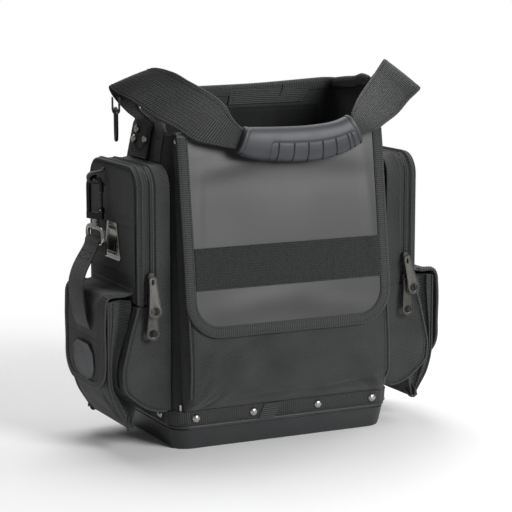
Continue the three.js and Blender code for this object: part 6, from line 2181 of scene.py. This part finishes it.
@dataclass
class HangingRing(Part):
    """D-ring on one side, and the webbing tab that it swings in."""

    side: Side
    tab_half: float = 12.5
    tab_turn: float = 4.1

    # Middle of the ring's straight bar and how far the tab rises over it, by side
    PLACES = {Side.LEFT: ((-180.0, 20.4, 411.264), 14.6), Side.RIGHT: ((172.5, 20.4, 408.24), 15.4)}
    # Places along the bar and below it, down each corner
    CORNER = ((16.9, 1.6), (17.2, 7))
    BAR = (-14.6, -9, -4, 0, 4, 9, 14.6)

    def build(self) -> None:
        """The ring hangs from its bar; the tab is folded round the bar."""
        sign, word = self.side.value, self.side.word
        middle, rise = self.PLACES[self.side]
        centre = np.array(middle)
        way, down = np.array([-sign * 0.34894, 0.93715, 0.0]), np.array([0, 0, -1.0])
        normal = np.cross(way, UPRIGHT)
        bow = np.linspace(0, np.pi, 15)
        places = [(s, 0.0) for s in self.BAR] + list(self.CORNER)
        places += list(zip(17 * np.cos(bow), 15.54 + 21.46 * np.sin(bow)))
        places += [(-s, drop) for s, drop in self.CORNER[::-1]]
        ring = rod_ring([centre + way * s + down * drop for s, drop in places], 2.5, normal, 110)
        name = f"d_ring_{word}"
        self.put(name, ring, self.finish.black, name, body=f"ring_{word}", sharp=35)
        turn, angle = self.tab_turn, np.linspace(0, -np.pi, 15)
        route = [(turn, rise * share) for share in (1.0, 0.6, 0.25)]
        route += list(zip(turn * np.cos(angle), turn * np.sin(angle)))
        route += [(-turn, rise * share) for share in (0.25, 0.6, 1.0)]
        path = smooth_path([centre + normal * s + [0, 0, z] for s, z in route], 60)
        tab = slab(ribbon(path, way, self.tab_half, 12), WEBBING)
        self.put(f"ring_tab_{word}", tab, self.finish.webbing, f"ring_tab_{word}")


# ---- the handle


@dataclass
class Handle(Part):
    """Shoulder-wide carrying handle: webbing over both sides, folded through a soft grip."""

    body: Body
    thickness: float = 3.4
    half: float = 25.0
    seat: float = 3.1
    anchor_foot: float = 352.0
    anchor_top: float = 395.3

    # Both edges of the webbing as shares of half the width, half the depth and the height
    LEFT = (
        (-1.045, .48, .944, -1.04, .05, .955), (-1.17, .45, .987, -1.06, .1, 1.02),
        (-1.225, .353, 1.016, -.94, 0, 1.067), (-1.165, .188, .994, -.82, -.247, 1.06),
        (-1.097, -.047, .975, -.731, -.447, 1.037), (-1.011, -.376, .94, -.671, -.588, 1.021),
        (-.918, -.741, .913, -.591, -.776, .998), (-.809, -.985, .882, -.53, -.93, .971),
        (-.65, -1.09, .868, -.495, -1.07, .935),
    )
    RIGHT = (
        (.72, -1.12, .882, .585, -1.09, .935), (.81, -1.11, .889, .645, -1.01, .96),
        (.899, -1.071, .905, .724, -.894, .983), (1.051, -.988, .931, .853, -.729, 1.014),
        (1.184, -.906, .966, .99, -.541, 1.045), (1.325, -.82, .998, 1.136, -.329, 1.077),
        (1.29, -.6, .985, 1.17, -.12, 1.055), (1.15, -.3, .95, 1.11, .2, .99),
    )
    # Shares of half the width and of the height along the grip, and half its height over 50 mm
    GRIP = (
        (-.447, .881, .33), (-.38, .872, .37), (-.27, .866, .4), (.02, .859, .44), (.24, .86, .448),
        (.42, .869, .43), (.53, .881, .42), (.607, .896, .41),
    )
    GRIP_Y = -95.03
    GROOVES = (-.13, .01, .14, .27, .39, .5, .535)
    PANEL_ENDS = (-.2, .575)
    # Height share and depth of the rivets, and how far they seat off each anchor
    RIVETS = ((0.893, 28.05), (0.864, 32.3), (0.868, -1.7))
    RIVET_SEATS = {Side.LEFT: 0.95, Side.RIGHT: 0.5}

    def axis(self, share: Array) -> tuple[Array, Array, Array]:
        """The grip's axis.

        Args:
            share: Shares of its length.

        Returns:
            Points on the axis, the direction up from each, and half the grip's height there.
        """
        x, z, _ = np.array(self.GRIP).T
        path = smooth_path(mesh_of(x * HALF_WIDTH, self.GRIP_Y, z * RIM_HEIGHT), 240)
        length = arc_length(path) / arc_length(path)[-1]
        point = read_along(share, length, path)
        way = unit(read_along(share, length, unit(np.gradient(path, axis=0))))
        up = unit(np.cross(np.broadcast_to(TO_FRONT, way.shape), way))
        return point, up, 50 * monotone(point[..., 0] / HALF_WIDTH, self.GRIP, 2)

    def anchor(self, sign: int) -> Array:
        """Both edges of the webbing up one side wall, six numbers a row."""
        z = np.linspace(self.anchor_foot, self.anchor_top, 7)
        x = sign * (self.body.section(z).side(sign) + self.seat)
        return mesh_of(x, ANCHOR_Y - sign * self.half, z, x, ANCHOR_Y + sign * self.half, z)

    def edges(self) -> tuple[Array, Array]:
        """Both edges of the webbing from the left anchor to the right one."""
        scale = np.array([HALF_WIDTH, HALF_DEPTH, RIM_HEIGHT] * 2)
        point, up, _ = self.axis(np.linspace(0, 1, 12))
        inside = np.concatenate([point - up * 12, point + up * 12], axis=1)
        left, right = np.array(self.LEFT) * scale, np.array(self.RIGHT) * scale
        rows = np.vstack([self.anchor(-1), left, inside, right, self.anchor(1)[::-1]])
        return tuple(np.split(smooth_path(rows, 460), 2, axis=1))

    def build(self) -> None:
        """Webbing with its stitches, the grip and the rivets."""
        first, last = self.edges()
        u = np.linspace(0, 1, 16)[None, :, None]
        grid = first[:, None] * (1 - u) + last[:, None] * u
        normal = grid_normals(grid)
        grid = grid + normal * (1.2 * np.sin(np.pi * u)) * 0.5
        self.put("handle_webbing", slab(grid, self.thickness), self.finish.webbing, "handle_strap")
        rows = []
        for col in (1, -2):
            for way in (1, -1):
                out = normal[4:-4, col] * way
                rows.append(stitches(grid[4:-4, col] + out * (self.thickness / 2 + 0.02), out))
        self.sew("handle_stitches", rows)
        self.build_anchors()
        self.build_grip()
        self.build_rivets()

    def build_anchors(self) -> None:
        """Nested arcs of stitches that hold each anchor to the side."""
        rows = []
        turn = np.linspace(np.pi, TAU, 40)
        for sign in (-1, 1):
            for inset in (4.5, 8.0, 11.5):
                half = self.half - inset
                y = np.pad(ANCHOR_Y + half * np.cos(turn), 1, "edge")
                z = self.anchor_foot + 6 + inset * 0.4 + half + half * np.sin(turn)
                z = np.concatenate([[392.0], z, [392.0]])
                x = sign * (self.body.section(z).side(sign) + self.seat + 1.75 + 0.3)
                rows.append(stitches(resample(mesh_of(x, y, z), 120), (sign, 0, 0), pitch=3.0))
        self.sew("anchor_stitches", rows)

    def build_grip(self) -> None:
        """Soft grip: smooth above, with an inset panel of finger segments below.

        Its section is an ellipse with squared shoulders. The panel is cut in by a soft step over
        the distance from its rounded edge, and each groove is a bell along the axis.
        """
        share = np.linspace(0, 1, 560)
        point, up, half = self.axis(share)
        angle = np.arange(112) * TAU / 112
        rise, side = np.sin(angle), np.cos(angle)
        reach = point[:, 0]
        low, high = (share_of * HALF_WIDTH for share_of in self.PANEL_ENDS)
        lines = sum(np.exp(-(((reach - g * HALF_WIDTH) / 0.75) ** 2)) for g in self.GROOVES)
        inside = np.minimum(reach - low, high - reach)[:, None]
        below = (0.1 - rise)[None] * 14.0
        corner = np.hypot(np.minimum(inside - 5, 0), np.minimum(below - 5, 0))
        depth = np.where((inside < 5) & (below < 5), 5 - corner, np.minimum(inside, below))
        panel, border = 1 / (1 + np.exp(-depth / 0.28)), np.exp(-((depth / 0.55) ** 2))
        end = np.minimum(share, 1 - share) * arc_length(point)[-1]
        scale = 0.84 + 0.16 * np.sqrt(1 - (1 - np.clip(end / 2.4, 0.0, 1)) ** 2)
        collar = 0.55 * np.exp(-(((end - 5.0) / 0.9) ** 2))
        cut = panel * (0.7 + 1.5 * lines[:, None]) + 0.9 * border + collar[:, None]
        a, b = (np.sign(k) * np.abs(k) ** 0.86 for k in (rise, side))
        rings = point[:, None] + up[:, None] * ((half[:, None] * scale[:, None] - cut) * a)[..., None]
        rings = rings + np.array(TO_BACK) * ((12 * scale[:, None] - cut) * b)[..., None]
        self.put("grip_body", loft(rings), self.finish.rubber, "handle_grip", sharp=60)

    def build_rivets(self) -> None:
        """Domed rivets through both anchors."""
        for side, seat in self.RIVET_SEATS.items():
            for k, (share, y) in enumerate(self.RIVETS, 1):
                z = share * RIM_HEIGHT
                x = side.value * (float(self.body.section(z).side(side.value)) + 4.8 + seat)
                name = f"handle_rivet_{side.word}_{k}"
                self.put(name, rivet_head((x, y, z), (side.value, 0, 0)), self.finish.nickel, name, sharp=35)


# ---- floor, lights and camera


class Studio:
    """Pale floor, soft lights and the camera at the photograph's angle."""

    CAMERA = (-1.04884, -2.1327, 0.61351)
    TURN = (80.58, 0.0, -26.22)
    LENS = 132.87
    FLOOR_HALF = 4.0
    FLOOR_SHADE = 0.97
    # Distances from the middle, in metres, between which the floor fades out
    FADE = (0.42, 0.95)
    # Strength of the white world for all rays, and what camera and glossy rays add to it
    WORLD, CAMERA_GAIN, GLOSSY_GAIN = 0.1, 0.9, 0.24
    # Name, place, aim, size and power of each lamp
    LAMPS = (
        ("key", (0.9, -2.3, 1.3), (0, 0, 0.25), 1.2, 66.0),
        ("fill", (2.0, 0.3, 1.6), (0, 0, 0.25), 1.4, 20.0),
        ("top", (0.2, 1.4, 2.8), (0, 0, 0.3), 2.2, 62.0),
    )

    def build(self) -> None:
        """Add the stage."""
        self.build_floor()
        self.build_lights()
        self.build_camera()
        self.build_world()
        bpy.context.scene.view_settings.view_transform = "Standard"

    def build_camera(self) -> None:
        """The camera, where the photograph was taken from."""
        lens = bpy.data.cameras.new("photo_camera")
        lens.lens, lens.sensor_width = self.LENS, 36.0
        camera = bpy.data.objects.new("photo_camera", lens)
        camera.location = self.CAMERA
        camera.rotation_euler = Euler([math.radians(a) for a in self.TURN])
        bpy.context.scene.collection.objects.link(camera)
        bpy.context.scene.camera = camera

    def build_world(self) -> None:
        """White backdrop that gives much less light than it shows."""
        world = bpy.data.worlds.new("studio")
        world.use_nodes = True
        tree = world.node_tree
        rays = add_node(tree, "ShaderNodeLightPath").outputs
        gains = [(rays["Is Camera Ray"], self.CAMERA_GAIN), (rays["Is Glossy Ray"], self.GLOSSY_GAIN)]
        back = tree.nodes["Background"]
        back.inputs["Color"].default_value = (1.0, 1.0, 1.0, 1.0)
        tree.links.new(blend_sum(tree, gains, self.WORLD), back.inputs["Strength"])
        bpy.context.scene.world = world

    def build_floor(self) -> None:
        """One large pale plane under the foot of the tote, fading out away from it."""
        mesh = bpy.data.meshes.new("studio_floor")
        r = self.FLOOR_HALF
        mesh.from_pydata([(-r, -r, 0), (r, -r, 0), (r, r, 0), (-r, r, 0)], [], [(0, 1, 2, 3)])
        paint = bpy.data.materials.new("studio_white")
        paint.use_nodes = True
        tree = paint.node_tree
        shader = tree.nodes["Principled BSDF"]
        shader.inputs["Base Color"].default_value = (*[self.FLOOR_SHADE] * 3, 1.0)
        shader.inputs["Roughness"].default_value = 0.9
        length = {"operation": "LENGTH"}
        far = add_node(tree, "ShaderNodeVectorMath", length, {0: solid_space(tree)}).outputs["Value"]
        near, end = self.FADE
        span = {"Value": far, "From Min": near, "From Max": end, "To Min": 1.0, "To Max": 0.0}
        fade = add_node(tree, "ShaderNodeMapRange", {"interpolation_type": "SMOOTHSTEP"}, span)
        tree.links.new(fade.outputs["Result"], shader.inputs["Alpha"])
        mesh.materials.append(paint)
        floor = bpy.data.objects.new("studio_floor", mesh)
        bpy.context.scene.collection.objects.link(floor)

    def build_lights(self) -> None:
        """A soft key in front, a fill from the right and one above."""
        for name, place, aim, size, power in self.LAMPS:
            lamp = bpy.data.lights.new(name, "AREA")
            lamp.size, lamp.energy = size, power
            item = bpy.data.objects.new(name, lamp)
            item.location = place
            span = Vector(aim) - Vector(place)
            item.rotation_euler = span.to_track_quat("-Z", "Y").to_euler()
            bpy.context.scene.collection.objects.link(item)


def main() -> None:
    """Build the tote and its stage."""
    logging.basicConfig(level=logging.WARNING)
    finish, body = Finishes(), Body()
    pocket = FrontPocket(finish, body)
    parts = [
        MouldedBase(finish), BodyShell(finish, body), BaseBand(finish, body), pocket,
        FrontCover(finish, body, pocket),
    ]
    for side in Side:
        parts += [SidePocket(finish, side), OuterPocket(finish, side), HangingRing(finish, side)]
    parts += [Badge(finish), TapeClip(finish), SnapHook(finish), Handle(finish, body)]
    for part in parts:
        part.build()
    Studio().build()


if __name__ == "__main__":
    main()
